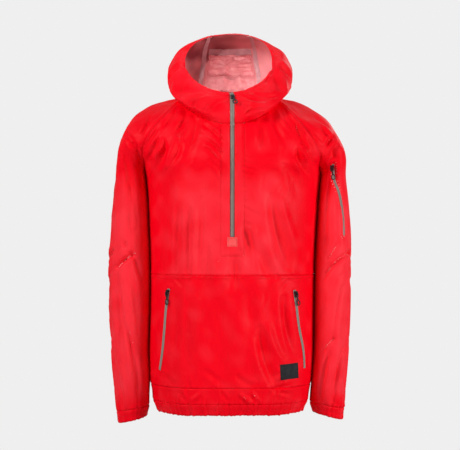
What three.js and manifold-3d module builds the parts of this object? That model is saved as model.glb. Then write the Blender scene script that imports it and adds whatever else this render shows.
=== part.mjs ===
// Hooded half-zip anorak, filled out as if worn, with nobody in it. Millimetres, +Z up, the
// front faces -Y and the wearer's left arm is at +X. The origin is inside the neck, level with
// the high point of the shoulders.
//
// Every cloth piece is a thin wall on one of three nets of guide points: the trunk, the sleeves
// and the hood. A net has a row for each level and a column for each guide line, and pieces that
// are sewn together share a row or a column, so that their edges meet.
import * as THREE from 'three';
import * as BufferGeometryUtils from 'three/addons/utils/BufferGeometryUtils.js';
import Module from 'manifold-3d';

const wasm = await Module();
wasm.setup();

// ---- Driving sizes ---------------------------------------------------------------------------
const CLOTH = 1.5; // wall of a single cloth piece
const SEAM_GAP = 0.3; // space between two pieces that are sewn together
const LAID = 1.3; // space under what is laid on a faceted piece, so that it clears the ridges
const FRONT_X = 5; // the front zip stands a little to the wearer's left
const ZIP_WIDTH = 10; // tape and coil that show between the two edges of the cloth
const ZIP_FOOT = -310; // lower end of the front zip
const POCKET_SEAM = -394; // cross seam between the upper front and the pocket panel
const HEM_SEAM = -641; // top of the hem band
const CASING_SEAM = -677; // top of the elastic casing
const HEM_EDGE = -702;
const POCKET_ZIP_WIDTH = 9;
const ZIP_THICK = 1.2;
const LABEL_THICK = 0.8;

// Zips that lie on a panel: the middle line, from the top down.
const POCKET_ZIPS = {
  right: [
    { x: -134, z: -424 }, { x: -140, z: -463 }, { x: -144, z: -510 }, { x: -148, z: -555 },
    { x: -155, z: -604 },
  ],
  left: [
    { x: 141, z: -427 }, { x: 146, z: -463 }, { x: 152, z: -510 }, { x: 162, z: -562 },
    { x: 164.5, z: -601 },
  ],
};
const ARM_ZIP = [
  { x: 230, z: -148 }, { x: 232, z: -184 }, { x: 244, z: -208 }, { x: 254, z: -240 },
  { x: 258.5, z: -272 }, { x: 258, z: -308 },
];
// Flat pieces laid on the front: left and right edge, top and bottom.
const LABEL = { x: [110, 150], z: [-588, -622] };
const GARAGE = { x: [-6, 16], z: [-311, -331] };

// The zip slider and its pull. The pull turns on a bar at its upper end, under the bridge.
const SLIDER = {
  width: 9, foot: 6.4, length: 12, thick: 3, bridgeWidth: 2.2, bridgeLength: 6.4, bridgeRise: 3.6,
  bridgeWall: 1.1,
};
const PULL = {
  thick: 1.4, eyeWidth: 7.6, eyeHole: 5.4, bar: 0.7, eyeFoot: -6.2, stem: 3.4, ringTop: -15,
  ringEnd: -27, ringWidth: 10.5, ringWall: 2,
};
const BAR_RISE = 1.3; // middle of the pull's bar above the slider's face
// Where the sliders stand on their zips, and how far each pull hangs to one side, in degrees.
const SLIDER_PLACES = {
  front: { z: -4, swing: 20 },
  pocket_right: { x: -134.5, z: -432, swing: 3 },
  pocket_left: { x: 142, z: -435, swing: 14 },
  arm: { x: 230.5, z: -157, swing: 13 },
};

// The trunk below the armpits: half widths to the wearer's right and left, depths to the front
// and the back.
const TRUNK = [
  { z: HEM_EDGE, right: 163, left: 164, front: 127, back: 116 },
  { z: CASING_SEAM, right: 173, left: 175, front: 135, back: 122 },
  { z: HEM_SEAM, right: 176, left: 180, front: 139, back: 126 },
  { z: -555, right: 179, left: 185, front: 141, back: 128 },
  { z: -475, right: 176, left: 186, front: 140, back: 127 },
  { z: POCKET_SEAM, right: 176, left: 187, front: 140, back: 125 },
  { z: ZIP_FOOT, right: 178, left: 190, front: 140, back: 123 },
  { z: -240, right: 183, left: 197, front: 141, back: 121 },
  { z: -172, right: 190, left: 205, front: 141, back: 120 },
];
const TRUNK_SQUARE = 2.5; // exponent of the trunk's outline, 2 for an ellipse
const ARMPIT = TRUNK.length - 1; // the row where trunk and sleeves part

// The yoke above the armpits, for both sides: a row of guide points from the armpit to the neck
// seam. front and back lie on the centre lines; the rest are [x, y, z] on the left half.
const YOKE = [
  {
    front: [-142, -150], chest: [152, -114, -147], raglanFront: [206, -40, -149],
    sleeveFront: [239, -73, -141], shoulder: [260, 2, -130], sleeveBack: [237, 66, -136],
    raglanBack: [201, 40, -148], blade: [150, 97, -138], back: [122, -132],
  },
  {
    front: [-142, -128], chest: [144, -119, -122], raglanFront: [200, -70, -118],
    sleeveFront: [231, -82, -106], shoulder: [247, 2, -88], sleeveBack: [228, 70, -100],
    raglanBack: [194, 68, -118], blade: [139, 101, -103], back: [121, -92],
  },
  {
    front: [-140, -106], chest: [127, -120, -96], raglanFront: [179, -90, -84],
    sleeveFront: [208, -80, -70], shoulder: [222, 2, -44], sleeveBack: [204, 68, -64],
    raglanBack: [172, 82, -80], blade: [119, 100, -64], back: [116, -52],
  },
  {
    front: [-136, -85], chest: [106, -113, -69], raglanFront: [148, -86, -46],
    sleeveFront: [170, -62, -36], shoulder: [178, 2, -13], sleeveBack: [165, 58, -27],
    raglanBack: [138, 75, -38], blade: [92, 90, -27], back: [102, -16],
  },
  {
    front: [-127, -64], chest: [79, -92, -36], raglanFront: [107, -44, -5],
    sleeveFront: [111, -22, 0], shoulder: [112, 0, 3], sleeveBack: [106, 28, 7],
    raglanBack: [92, 54, 9], blade: [56, 67, 10], back: [72, 10],
  },
];
const NECK = ARMPIT + YOKE.length;

// The sleeves below the armpit: where the inner and outer sides stand, how low they are, and
// how far the tube reaches to the front and the back.
const SLEEVES = {
  right: {
    side: -1, spread: -7, lift: 4,
    rows: [
      { inner: 189, outer: 253, innerZ: -716, outerZ: -731, front: -48, back: 30 },
      { inner: 184, outer: 257, innerZ: -690, outerZ: -704, front: -54, back: 36 },
      { inner: 182, outer: 262, innerZ: -640, outerZ: -650, front: -62, back: 44 },
      { inner: 184, outer: 269, innerZ: -560, outerZ: -568, front: -67, back: 50 },
      { inner: 182, outer: 273, innerZ: -470, outerZ: -474, front: -69, back: 55 },
      { inner: 181, outer: 274, innerZ: -385, outerZ: -385, front: -68, back: 60 },
      { inner: 183, outer: 271, innerZ: -300, outerZ: -298, front: -67, back: 63 },
      { inner: 187, outer: 268, innerZ: -230, outerZ: -226, front: -66, back: 64 },
    ],
  },
  left: {
    side: 1, spread: 8, lift: -4,
    rows: [
      { inner: 188, outer: 255, innerZ: -706, outerZ: -723, front: -48, back: 30 },
      { inner: 182, outer: 258, innerZ: -682, outerZ: -696, front: -54, back: 36 },
      { inner: 184, outer: 261, innerZ: -640, outerZ: -648, front: -62, back: 44 },
      { inner: 190, outer: 267, innerZ: -560, outerZ: -566, front: -67, back: 50 },
      { inner: 191, outer: 271, innerZ: -470, outerZ: -472, front: -69, back: 55 },
      { inner: 192, outer: 272, innerZ: -385, outerZ: -385, front: -68, back: 60 },
      { inner: 196, outer: 272, innerZ: -300, outerZ: -298, front: -67, back: 63 },
      { inner: 202, outer: 268, innerZ: -230, outerZ: -226, front: -66, back: 64 },
    ],
  },
};
const CUFF_ROW = 1; // row of the cuff seam
const SLEEVE_ARMPIT = SLEEVES.right.rows.length;
const UPPER_ARM = { outer: 264, front: -66, back: 64 }; // the sleeve's reach at the armpit
const VALLEY_LEVELS = 3; // yoke levels over which the fold beside the armpit runs out

// The hood: a row of guide points from just above the neck seam to the edge of the face opening.
// throat and crown lie on the centre lines; cheek, temple and nape are on the left half.
const HOOD = [
  {
    throat: [-133, -50], cheek: [88, -119, -29], temple: [131, -36, 16],
    nape: [98, 76, 20], crown: [104, 18],
  },
  {
    throat: [-127, -26], cheek: [104, -104, -3], temple: [139, -8, 45],
    nape: [118, 100, 50], crown: [148, 48],
  },
  {
    throat: [-114, -7], cheek: [92, -92, 17], temple: [134, 8, 82],
    nape: [108, 112, 96], crown: [160, 96],
  },
  {
    throat: [-106, 1], cheek: [76, -88, 23], temple: [116, -6, 100],
    nape: [86, 62, 137], crown: [92, 155],
  },
];
// The edge of the face opening isn't the same on both sides.
const BRIM = {
  throat: [2, -100, 8], crown: [-8, 43, 153],
  left: { cheek: [58, -84, 25], temple: [94, -14, 95], nape: [74, 24, 134] },
  right: { cheek: [61, -84, 25], temple: [101, -16, 93], nape: [71, 26, 136] },
};
// Where the nine guide lines of the neck seam, front to back, run up the hood's five.
const HOOD_SHARE = [0, 1, 1.62, 1.84, 2.08, 2.5, 3, 3.46, 4];

// ---- Curves through guide points -------------------------------------------------------------
const vector = (x, y, z) => new THREE.Vector3(x, y, z);
const mix = (a, b, share) => a + (b - a) * share;

/** Direction of the circle through three neighbours, at the middle one. */
function circleTangent(before, here, after) {
  const back = here.clone().sub(before);
  const ahead = after.clone().sub(here);
  back.divideScalar(back.lengthSq());
  ahead.divideScalar(ahead.lengthSq());
  return back.add(ahead).normalize();
}

/** The direction at one end of an arc, from the direction at its other end. */
function mirroredTangent(start, end, tangent) {
  const chord = end.clone().sub(start).normalize();
  return chord.multiplyScalar(2 * chord.dot(tangent)).sub(tangent).normalize();
}

/** A smooth curve through guide points, which is a true arc where they lie on a circle. */
class GuideCurve {
  constructor(points, closed = false) {
    this.points = points;
    this.closed = closed;
    const last = points.length - 1;
    this.tangents = points.map((point, index) => {
      if (closed) {
        const before = points[(index + last) % points.length];
        return circleTangent(before, point, points[(index + 1) % points.length]);
      }
      if (index === 0 || index === last) return null;
      return circleTangent(points[index - 1], point, points[index + 1]);
    });
    if (!closed) {
      this.tangents[0] = mirroredTangent(points[0], points[1], this.tangents[1]);
      const near = this.tangents[last - 1];
      this.tangents[last] = mirroredTangent(points[last - 1], points[last], near);
    }
  }

  at(position) {
    const count = this.points.length;
    const spans = this.closed ? count : count - 1;
    const wrapped = this.closed ? ((position % spans) + spans) % spans : position;
    const span = Math.min(Math.max(Math.floor(wrapped), 0), spans - 1);
    const share = wrapped - span;
    const start = this.points[span];
    const end = this.points[(span + 1) % count];
    const leave = this.tangents[span];
    const arrive = this.tangents[(span + 1) % count];
    const turn = Math.acos(Math.min(Math.max(leave.dot(arrive), -1), 1));
    const pull = start.distanceTo(end) / Math.cos(turn / 4) ** 2;
    const squared = share * share;
    const cubed = squared * share;
    return vector(0, 0, 0)
      .addScaledVector(start, 2 * cubed - 3 * squared + 1)
      .addScaledVector(leave, (cubed - 2 * squared + share) * pull)
      .addScaledVector(end, 3 * squared - 2 * cubed)
      .addScaledVector(arrive, (cubed - squared) * pull);
  }
}

// ---- The surfaces ----------------------------------------------------------------------------
const square = Math.SQRT1_2 ** (2 / TRUNK_SQUARE);
const SIDES = Object.keys(SLEEVES);
const smoothStep = (value) => value * value * (3 - 2 * value);

/** A guide line through points at the levels first, first + 1 and so on. */
const guideLine = (points, first = 0) => {
  const curve = new GuideCurve(points);
  return { at: (up) => curve.at(up - first) };
};

/** A surface with a point at each across and up, across running anticlockwise from above. */
class Surface {
  /** A point with its outward normal. */
  sample(across, up) {
    const step = 0.01;
    const along = this.at(across + step, up).sub(this.at(across - step, up));
    const rise = this.at(across, up + step).sub(this.at(across, up - step));
    return { point: this.at(across, up), normal: along.cross(rise).normalize() };
  }
}

/** A surface whose levels are closed rings through guide lines. */
class RingSurface extends Surface {
  constructor(lines) {
    super();
    this.lines = lines;
  }

  curve(up) {
    return new GuideCurve(this.lines.map((line) => line.at(up)), true);
  }

  at(across, up) {
    return this.curve(up).at(across);
  }
}

/**
 * A surface of closed rings up to the armpit and of open rows above it. The rows end at the two
 * raglan seams. Low down, body and sleeve meet there in a valley and each keeps its ring's
 * direction; higher up they run smoothly into each other.
 */
class ArmholeSurface extends Surface {
  constructor({ armpit, rings, ringStart, row, beyond }) {
    super();
    this.armpit = armpit;
    this.rings = rings;
    this.ringStart = ringStart; // ring position of the row's first guide line
    this.row = row;
    this.beyond = beyond; // the neighbours' first guide lines past each end of the row
    const { points } = rings.curve(armpit);
    const directionAt = (index) => circleTangent(
      points[(index + points.length - 1) % points.length], points[index],
      points[(index + 1) % points.length],
    );
    this.valley = [directionAt(ringStart), directionAt((ringStart + row.length - 1) % points.length)];
  }

  at(across, up) {
    if (up <= this.armpit) return this.rings.at(across + this.ringStart, up);
    const points = this.row.map((line) => line.at(up));
    const curve = new GuideCurve(points);
    const last = points.length - 1;
    const smooth = smoothStep(Math.min((up - this.armpit) / VALLEY_LEVELS, 1));
    const first = circleTangent(this.beyond[0].at(up), points[0], points[1]);
    const final = circleTangent(points[last - 1], points[last], this.beyond[1].at(up));
    curve.tangents[0] = this.valley[0].clone().lerp(first, smooth).normalize();
    curve.tangents[last] = this.valley[1].clone().lerp(final, smooth).normalize();
    return curve.at(across);
  }
}

/** One yoke guide point on one side: its spread and lift fade out towards the neck seam. */
function yokePoint([x, y, z], sleeve, level) {
  const fade = 1 - (level + 1) / YOKE.length;
  return vector(sleeve.side * (x + sleeve.spread * fade), y, z + sleeve.lift * Math.min(1, 2 * fade));
}
const yokePoints = (guide, name) => YOKE.map((row, level) => yokePoint(row[guide], SLEEVES[name], level));

const frontLine = guideLine([
  ...TRUNK.map(({ front, z }) => vector(FRONT_X, -front, z)),
  ...YOKE.map(({ front }) => vector(FRONT_X, ...front)),
]);
const backLine = guideLine([
  ...TRUNK.map(({ back, z }) => vector(0, back, z)), ...YOKE.map(({ back }) => vector(0, ...back)),
]);

/** The guide lines of one side, each through its own levels of trunk, sleeve and yoke. */
function sideLines(name) {
  const { side, rows } = SLEEVES[name];
  const trunkPoint = (row, share, depth) => vector(side * row[name] * share, depth, row.z);
  const armpit = trunkPoint(TRUNK[ARMPIT], 1, 0);
  const tube = (pick) => rows.map((row) => {
    const depth = (row.front + row.back) / 2;
    const middle = [(row.inner + row.outer) / 2, (row.innerZ + row.outerZ) / 2];
    return {
      inside: vector(side * row.inner, depth, row.innerZ),
      outside: vector(side * row.outer, depth, row.outerZ),
      ahead: vector(side * middle[0], row.front, middle[1]),
      behind: vector(side * middle[0], row.back, middle[1]),
    }[pick];
  });
  const middle = (Math.abs(armpit.x) + UPPER_ARM.outer) / 2;
  return {
    chest: guideLine([
      ...TRUNK.map((row) => trunkPoint(row, square, -row.front * square)), ...yokePoints('chest', name),
    ]),
    blade: guideLine([
      ...TRUNK.map((row) => trunkPoint(row, square, row.back * square)), ...yokePoints('blade', name),
    ]),
    edge: guideLine(TRUNK.map((row) => trunkPoint(row, 1, 0))),
    raglanFront: [armpit, ...yokePoints('raglanFront', name)],
    raglanBack: [armpit, ...yokePoints('raglanBack', name)],
    inside: guideLine([...tube('inside'), armpit]),
    ahead: guideLine([
      ...tube('ahead'),
      vector(side * middle, UPPER_ARM.front, armpit.z),
      ...yokePoints('sleeveFront', name),
    ]),
    outside: guideLine([
      ...tube('outside'), vector(side * UPPER_ARM.outer, 2, armpit.z), ...yokePoints('shoulder', name),
    ]),
    behind: guideLine([
      ...tube('behind'), vector(side * middle, UPPER_ARM.back, armpit.z), ...yokePoints('sleeveBack', name),
    ]),
  };
}
const lines = { right: sideLines('right'), left: sideLines('left') };

/** A sleeve's guide line read at the trunk's levels, and the other way round. */
const shifted = (line, shift) => ({ at: (up) => line.at(up + shift) });
const ARM_SHIFT = SLEEVE_ARMPIT - ARMPIT;

/** The trunk: ring positions 0 to 4 are its front, right to left, and 4 to 8 its back. */
const trunkRings = new RingSurface([
  lines.right.edge, lines.right.chest, frontLine, lines.left.chest,
  lines.left.edge, lines.left.blade, backLine, lines.right.blade,
]);
const frontSurface = new ArmholeSurface({
  armpit: ARMPIT, rings: trunkRings, ringStart: 0,
  row: [
    guideLine(lines.right.raglanFront, ARMPIT), lines.right.chest, frontLine, lines.left.chest,
    guideLine(lines.left.raglanFront, ARMPIT),
  ],
  beyond: [shifted(lines.right.ahead, ARM_SHIFT), shifted(lines.left.ahead, ARM_SHIFT)],
});
const backSurface = new ArmholeSurface({
  armpit: ARMPIT, rings: trunkRings, ringStart: 4,
  row: [
    guideLine(lines.left.raglanBack, ARMPIT), lines.left.blade, backLine, lines.right.blade,
    guideLine(lines.right.raglanBack, ARMPIT),
  ],
  beyond: [shifted(lines.left.behind, ARM_SHIFT), shifted(lines.right.behind, ARM_SHIFT)],
});

/**
 * A sleeve. Across 0 to 4 goes from one raglan seam over the shoulder to the other, and
 * anticlockwise seen from above: front to back on the left sleeve, back to front on the right.
 */
function sleeveSurface(name) {
  const { inside, ahead, outside, behind, raglanFront, raglanBack, chest, blade } = lines[name];
  const ring = [inside, ahead, outside, behind];
  const seams = [raglanFront, raglanBack].map((points) => guideLine(points, SLEEVE_ARMPIT));
  const row = [seams[0], ahead, outside, behind, seams[1]];
  const beyond = [shifted(chest, -ARM_SHIFT), shifted(blade, -ARM_SHIFT)];
  if (name === 'right') {
    ring.splice(1, 3, behind, outside, ahead);
    row.reverse();
    beyond.reverse();
  }
  return new ArmholeSurface({
    armpit: SLEEVE_ARMPIT, rings: new RingSurface(ring), ringStart: 0, row, beyond,
  });
}
const sleeveSurfaces = { right: sleeveSurface('right'), left: sleeveSurface('left') };

/** The nine guide points of the neck seam on one side, front centre to back centre. */
function neckSeam(name) {
  const neck = YOKE[YOKE.length - 1];
  const guides = ['chest', 'raglanFront', 'sleeveFront', 'shoulder', 'sleeveBack', 'raglanBack', 'blade'];
  return [
    vector(FRONT_X, ...neck.front),
    ...guides.map((guide) => yokePoint(neck[guide], SLEEVES[name], YOKE.length - 1)),
    vector(0, ...neck.back),
  ];
}

/** A closed hood level from its five guide points a side, read at the neck seam's columns. */
function hoodRow(throat, crown, left, right) {
  const loop = new GuideCurve([
    throat, left.cheek, left.temple, left.nape, crown, right.nape, right.temple, right.cheek,
  ], true);
  const outward = HOOD_SHARE.map((share) => loop.at(share));
  const homeward = HOOD_SHARE.slice(1, 8).reverse().map((share) => loop.at(8 - share));
  return [...outward, ...homeward];
}

const hoodSide = (row, side) => {
  const points = {};
  for (const guide of ['cheek', 'temple', 'nape']) {
    const [x, y, z] = row[guide];
    points[guide] = vector(side * x, y, z);
  }
  return points;
};
const neckRing = [...neckSeam('left'), ...neckSeam('right').slice(1, 8).reverse()];
const hoodRows = [
  neckRing,
  ...HOOD.map((row) => hoodRow(
    vector(FRONT_X, ...row.throat), vector(0, ...row.crown), hoodSide(row, 1), hoodSide(row, -1),
  )),
  hoodRow(vector(...BRIM.throat), vector(...BRIM.crown), hoodSide(BRIM.left, 1), hoodSide(BRIM.right, -1)),
];
const hoodGuides = neckRing.map((_, column) => guideLine(hoodRows.map((row) => row[column])));
const hoodSurface = new RingSurface(hoodGuides);
const BRIM_ROW = HOOD.length + 1;
const NECK_COLUMNS = 16;

// ---- Walls on the nets -----------------------------------------------------------------------
/** Evenly spaced stations through the given stops, with a count of steps between each two. */
function stations(stops, steps) {
  const list = [stops[0]];
  for (let span = 1; span < stops.length; span += 1) {
    const count = Array.isArray(steps) ? steps[span - 1] : steps;
    for (let step = 1; step <= count; step += 1) {
      list.push(mix(stops[span - 1], stops[span], step / count));
    }
  }
  return list;
}

/** A grid of samples, grid[up][across]; columnsAt(up) lists the columns of a level. */
const gridOn = (surface, columnsAt, upList) => upList.map(
  (up) => columnsAt(up).map((across) => surface.sample(across, up)),
);

/** The flat facets of a piece: across and up count its grid's columns and rows. */
class FacetSurface extends Surface {
  constructor(grid) {
    super();
    this.grid = grid;
    this.size = [grid[0].length - 1, grid.length - 1];
  }

  sample(across, up) {
    const column = Math.min(Math.floor(across), this.size[0] - 1);
    const row = Math.min(Math.floor(up), this.size[1] - 1);
    const blend = (pick) => {
      const corner = (right, above) => pick(this.grid[row + above][column + right]).clone();
      const low = corner(0, 0).lerp(corner(1, 0), across - column);
      return low.lerp(corner(0, 1).lerp(corner(1, 1), across - column), up - row);
    };
    return { point: blend(({ point }) => point), normal: blend(({ normal }) => normal).normalize() };
  }

  at(across, up) {
    return this.sample(across, up).point;
  }
}

/** The column that a vertex shares: rings repeat their first column as their last one. */
const sharedColumn = (column, columns, ring) => (ring && column === columns - 1 ? 0 : column);

const MITRE_LIMIT = 0.2; // cosine of the sharpest turn at a seam that is still mitred

/** Gives sewn pieces one shared normal at each point of their common seam, as a mitre has. */
function mitreSeams(pieces) {
  const meeting = new Map();
  const key = ({ point }) => point.toArray().map((value) => Math.round(value * 20)).join();
  for (const { grid, rings = -1 } of pieces) {
    grid.forEach((row, up) => row.forEach((corner, across) => {
      const onEdge = up === 0 || up === grid.length - 1
        || (up > rings && (across === 0 || across === row.length - 1));
      if (!onEdge) return;
      if (!meeting.has(key(corner))) meeting.set(key(corner), []);
      meeting.get(key(corner)).push(corner);
    }));
  }
  for (const corners of meeting.values()) {
    const shared = corners.reduce((sum, { normal }) => sum.add(normal), vector(0, 0, 0)).normalize();
    if (corners.every(({ normal }) => normal.dot(shared) > MITRE_LIMIT)) {
      corners.forEach((corner) => { corner.normal = shared.clone(); });
    }
  }
}

/** Moves a piece's edges inward by half a seam gap, so that it stays clear of its neighbours. */
function trimEdges(grid, rings = -1) {
  const top = grid.length - 1;
  const end = grid[0].length - 1;
  const along = (from, to) => to.point.clone().sub(from.point);
  const moved = ({ point, normal }, inward) => (
    { point: inward.setLength(SEAM_GAP / 2).add(point), normal }
  );
  const tall = grid.map((row, up) => row.map((corner, across) => {
    if (up > 0 && up < top) return corner;
    const beside = grid[up === 0 ? 1 : top - 1][across];
    return moved(corner, along(corner, beside).projectOnPlane(corner.normal));
  }));
  return tall.map((row, up) => {
    if (up <= rings) return row;
    const trimmed = [...row];
    for (const [edge, beside] of [[0, 1], [end, end - 1]]) {
      const inward = along(grid[up][edge], grid[up][beside]);
      if (up > 0 && up < top) inward.projectOnPlane(row[edge].normal);
      trimmed[edge] = moved(row[edge], inward);
    }
    return trimmed;
  });
}

/**
 * A closed wall from a grid of points: its outer face is the grid, raised by lift, and its inner
 * face lies thickness further in. Rows up to rings are closed rings, whose last column repeats
 * the first. keep(across, up) may leave cells out, which makes a slit or a notch.
 */
function wall(grid, { rings = -1, thickness = CLOTH, keep = () => true, lift = 0 } = {}) {
  const columns = grid[0].length;
  const cells = columns - 1;
  const positions = [];
  const indices = [];
  const used = new Map();
  const corner = (up, across, face) => {
    const column = sharedColumn(across, columns, up <= rings);
    const key = `${up},${column},${face}`;
    if (!used.has(key)) {
      const depth = face === 'outer' ? lift : lift - thickness;
      const { point: base, normal } = grid[up][column];
      const point = base.clone().addScaledVector(normal, depth);
      used.set(key, positions.length / 3);
      positions.push(point.x, point.y, point.z);
    }
    return used.get(key);
  };
  const kept = (up, across) => {
    const column = up < rings ? (across + cells) % cells : across;
    return up >= 0 && up < grid.length - 1 && column >= 0 && column < cells && keep(column, up);
  };
  const quad = (a, b, c, d) => indices.push(a, b, c, a, c, d);
  for (let up = 0; up < grid.length - 1; up += 1) {
    for (let across = 0; across < cells; across += 1) {
      if (!kept(up, across)) continue;
      const ring = [[up, across], [up, across + 1], [up + 1, across + 1], [up + 1, across]];
      const outer = ring.map(([row, column]) => corner(row, column, 'outer'));
      const inner = ring.map(([row, column]) => corner(row, column, 'inner'));
      quad(...outer);
      quad(...[...inner].reverse());
      const beside = [[up - 1, across], [up, across + 1], [up + 1, across], [up, across - 1]];
      beside.forEach(([row, column], edge) => {
        const next = (edge + 1) % 4;
        if (!kept(row, column)) quad(outer[next], outer[edge], inner[edge], inner[next]);
      });
    }
  }
  const geometry = new THREE.BufferGeometry();
  geometry.setAttribute('position', new THREE.Float32BufferAttribute(positions, 3));
  geometry.setIndex(indices);
  geometry.computeVertexNormals();
  return geometry;
}

// ---- Finishes --------------------------------------------------------------------------------
const finish = (color, roughness, metalness = 0) => new THREE.MeshStandardMaterial({
  color, roughness, metalness, side: THREE.DoubleSide,
});
const RED_CLOTH = finish(0xe00424, 0.5);
const PATCH_CLOTH = finish(0xe8323c, 0.5);
const PINK_INSIDE = finish(0xe08c90, 0.6);
const TAPE_GREY = finish(0xb7a3a3, 0.6);
const ZIP_TAPE = finish(0x6f6a62, 0.7);
const BLACK_METAL = finish(0x16161a, 0.35, 0.4);
const LABEL_BLACK = finish(0x121316, 0.7);

const anorak = new THREE.Group();
const place = (name, geometry, material, parent = anorak) => {
  const mesh = new THREE.Mesh(geometry, material);
  mesh.name = name;
  parent.add(mesh);
  return mesh;
};

// ---- Levels and columns shared by neighbouring pieces ----------------------------------------
const rowAt = (z) => TRUNK.findIndex((row) => row.z === z);
const rowsBetween = (from, to) => Array.from({ length: to - from + 1 }, (_, row) => from + row);
const YOKE_STEPS = [3, 2, 2, 2, 2]; // steps between the yoke levels, from the armpit up
const yokeLevels = stations(rowsBetween(ARMPIT, NECK), YOKE_STEPS);
const SPAN_STEPS = 4; // steps between two guide lines

/** Finds the column position where a level of a surface crosses a given x. */
function acrossAtX(surface, up, x, low, high) {
  let from = low;
  let to = high;
  const rising = surface.at(high, up).x > surface.at(low, up).x;
  for (let round = 0; round < 40; round += 1) {
    const middle = (from + to) / 2;
    if ((surface.at(middle, up).x < x) === rising) from = middle;
    else to = middle;
  }
  return (from + to) / 2;
}

// ---- Trunk -----------------------------------------------------------------------------------
/** Columns of a front level, with a pair beside the slit of the front zip. */
function frontColumnsAt(up) {
  const slitRight = acrossAtX(frontSurface, up, FRONT_X - ZIP_WIDTH / 2, 1.2, 2.4);
  const slitLeft = acrossAtX(frontSurface, up, FRONT_X + ZIP_WIDTH / 2, 1.6, 2.8);
  return [...stations([0, 1, slitRight], SPAN_STEPS), ...stations([slitLeft, 3, 4], SPAN_STEPS)];
}
const frontGrid = (upList) => gridOn(frontSurface, frontColumnsAt, upList);
const SLIT_CELL = 2 * SPAN_STEPS;
const backColumnList = stations([0, 1, 2, 3, 4], SPAN_STEPS);
/** Ring levels of the hem, with the front's and the back's own columns. */
const behindColumns = backColumnList.slice(1).map((across) => across + 4);
const hemColumnsAt = (up) => [...frontColumnsAt(up), ...behindColumns];
const hemGrid = (upList) => gridOn(trunkRings, hemColumnsAt, upList);

const upperLevels = [...rowsBetween(rowAt(POCKET_SEAM), ARMPIT), ...yokeLevels.slice(1)];
const zipFootStep = rowAt(ZIP_FOOT) - rowAt(POCKET_SEAM);
const clothPieces = [{
  name: 'front_upper', grid: frontGrid(upperLevels),
  keep: (across, up) => across !== SLIT_CELL || up < zipFootStep,
}];
const pocketLevels = rowsBetween(rowAt(HEM_SEAM), rowAt(POCKET_SEAM));
clothPieces.push({ name: 'front_pocket_panel', grid: frontGrid(pocketLevels) });
const backLevels = [...rowsBetween(rowAt(HEM_SEAM), ARMPIT), ...yokeLevels.slice(1)];
clothPieces.push({ name: 'back', grid: gridOn(backSurface, () => backColumnList, backLevels) });
clothPieces.push(
  { name: 'hem_band', grid: hemGrid([rowAt(CASING_SEAM), rowAt(HEM_SEAM)]), rings: 1 },
  { name: 'hem_casing', grid: hemGrid([rowAt(HEM_EDGE), rowAt(CASING_SEAM)]), rings: 1 },
);

// ---- Sleeves and cuffs -----------------------------------------------------------------------
const sleeveColumns = stations([0, 1, 2, 3, 4], SPAN_STEPS);
const sleeveLevels = [
  ...rowsBetween(CUFF_ROW, SLEEVE_ARMPIT),
  ...yokeLevels.slice(1).map((level) => level - ARMPIT + SLEEVE_ARMPIT),
];
for (const name of SIDES) {
  const surface = sleeveSurfaces[name];
  const gridAt = (levels) => gridOn(surface, () => sleeveColumns, levels);
  clothPieces.push(
    { name: `cuff_${name}`, grid: gridAt([0, CUFF_ROW]), rings: 1 },
    { name: `sleeve_${name}`, grid: gridAt(sleeveLevels), rings: SLEEVE_ARMPIT - CUFF_ROW },
  );
}

// ---- Hood ------------------------------------------------------------------------------------
const hoodLevels = stations(rowsBetween(0, BRIM_ROW), [3, 2, 2, 2, 2]);
const HOOD_STEPS = [4, 4, 4, 4, 4, 2, 4]; // steps between the neck seam guide lines
const SIDE_SEAM = 7; // the guide line where a hood side meets the centre panel

/** One hood side, from beside the front zip round to its seam with the centre panel. */
function hoodSideGrid(name) {
  const guideLines = rowsBetween(1, SIDE_SEAM);
  const columnsAt = (up) => {
    const [x, low, high] = name === 'left' ? [ZIP_WIDTH / 2, 0, 0.9] : [-ZIP_WIDTH / 2, -0.9, 0];
    const slit = acrossAtX(hoodSurface, up, hoodSurface.at(0, up).x + x, low, high);
    const lines = stations([Math.abs(slit), ...guideLines], HOOD_STEPS);
    return name === 'left' ? lines : lines.map((line) => -line).reverse();
  };
  return gridOn(hoodSurface, columnsAt, hoodLevels);
}
const hoodCentreColumns = stations([SIDE_SEAM, 8, NECK_COLUMNS - SIDE_SEAM], 4);
clothPieces.push(
  { name: 'hood_side_left', grid: hoodSideGrid('left') },
  { name: 'hood_side_right', grid: hoodSideGrid('right') },
  { name: 'hood_centre', grid: gridOn(hoodSurface, () => hoodCentreColumns, hoodLevels) },
);

mitreSeams(clothPieces);
for (const { name, grid, rings, keep } of clothPieces) {
  place(name, wall(trimEdges(grid, rings), { rings, keep }), RED_CLOTH);
}

// ---- Inside the hood -------------------------------------------------------------------------
const facetsOf = (name) => new FacetSurface(clothPieces.find((piece) => piece.name === name).grid);
const HOOD_LINING_STEP = CLOTH + 0.7; // depth of what lies inside the hood
const TAPE_THICK = 0.6;
const TAPE_HALF = 0.09; // half a seam tape, in guide lines
/** Lays a piece on the inner face of a surface. */
const insideHood = (name, surface, columns, levels, material, thickness) => {
  const grid = gridOn(surface, () => columns, levels);
  place(name, wall(grid, { thickness, lift: -HOOD_LINING_STEP }), material);
};
const seamLevels = hoodLevels.filter((level) => level >= 1);
for (const [name, seam] of [['left', SIDE_SEAM], ['right', NECK_COLUMNS - SIDE_SEAM]]) {
  const columns = stations([seam - TAPE_HALF, seam + TAPE_HALF], 2);
  insideHood(`hood_tape_${name}`, hoodSurface, columns, seamLevels, TAPE_GREY, TAPE_THICK);
}
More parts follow.
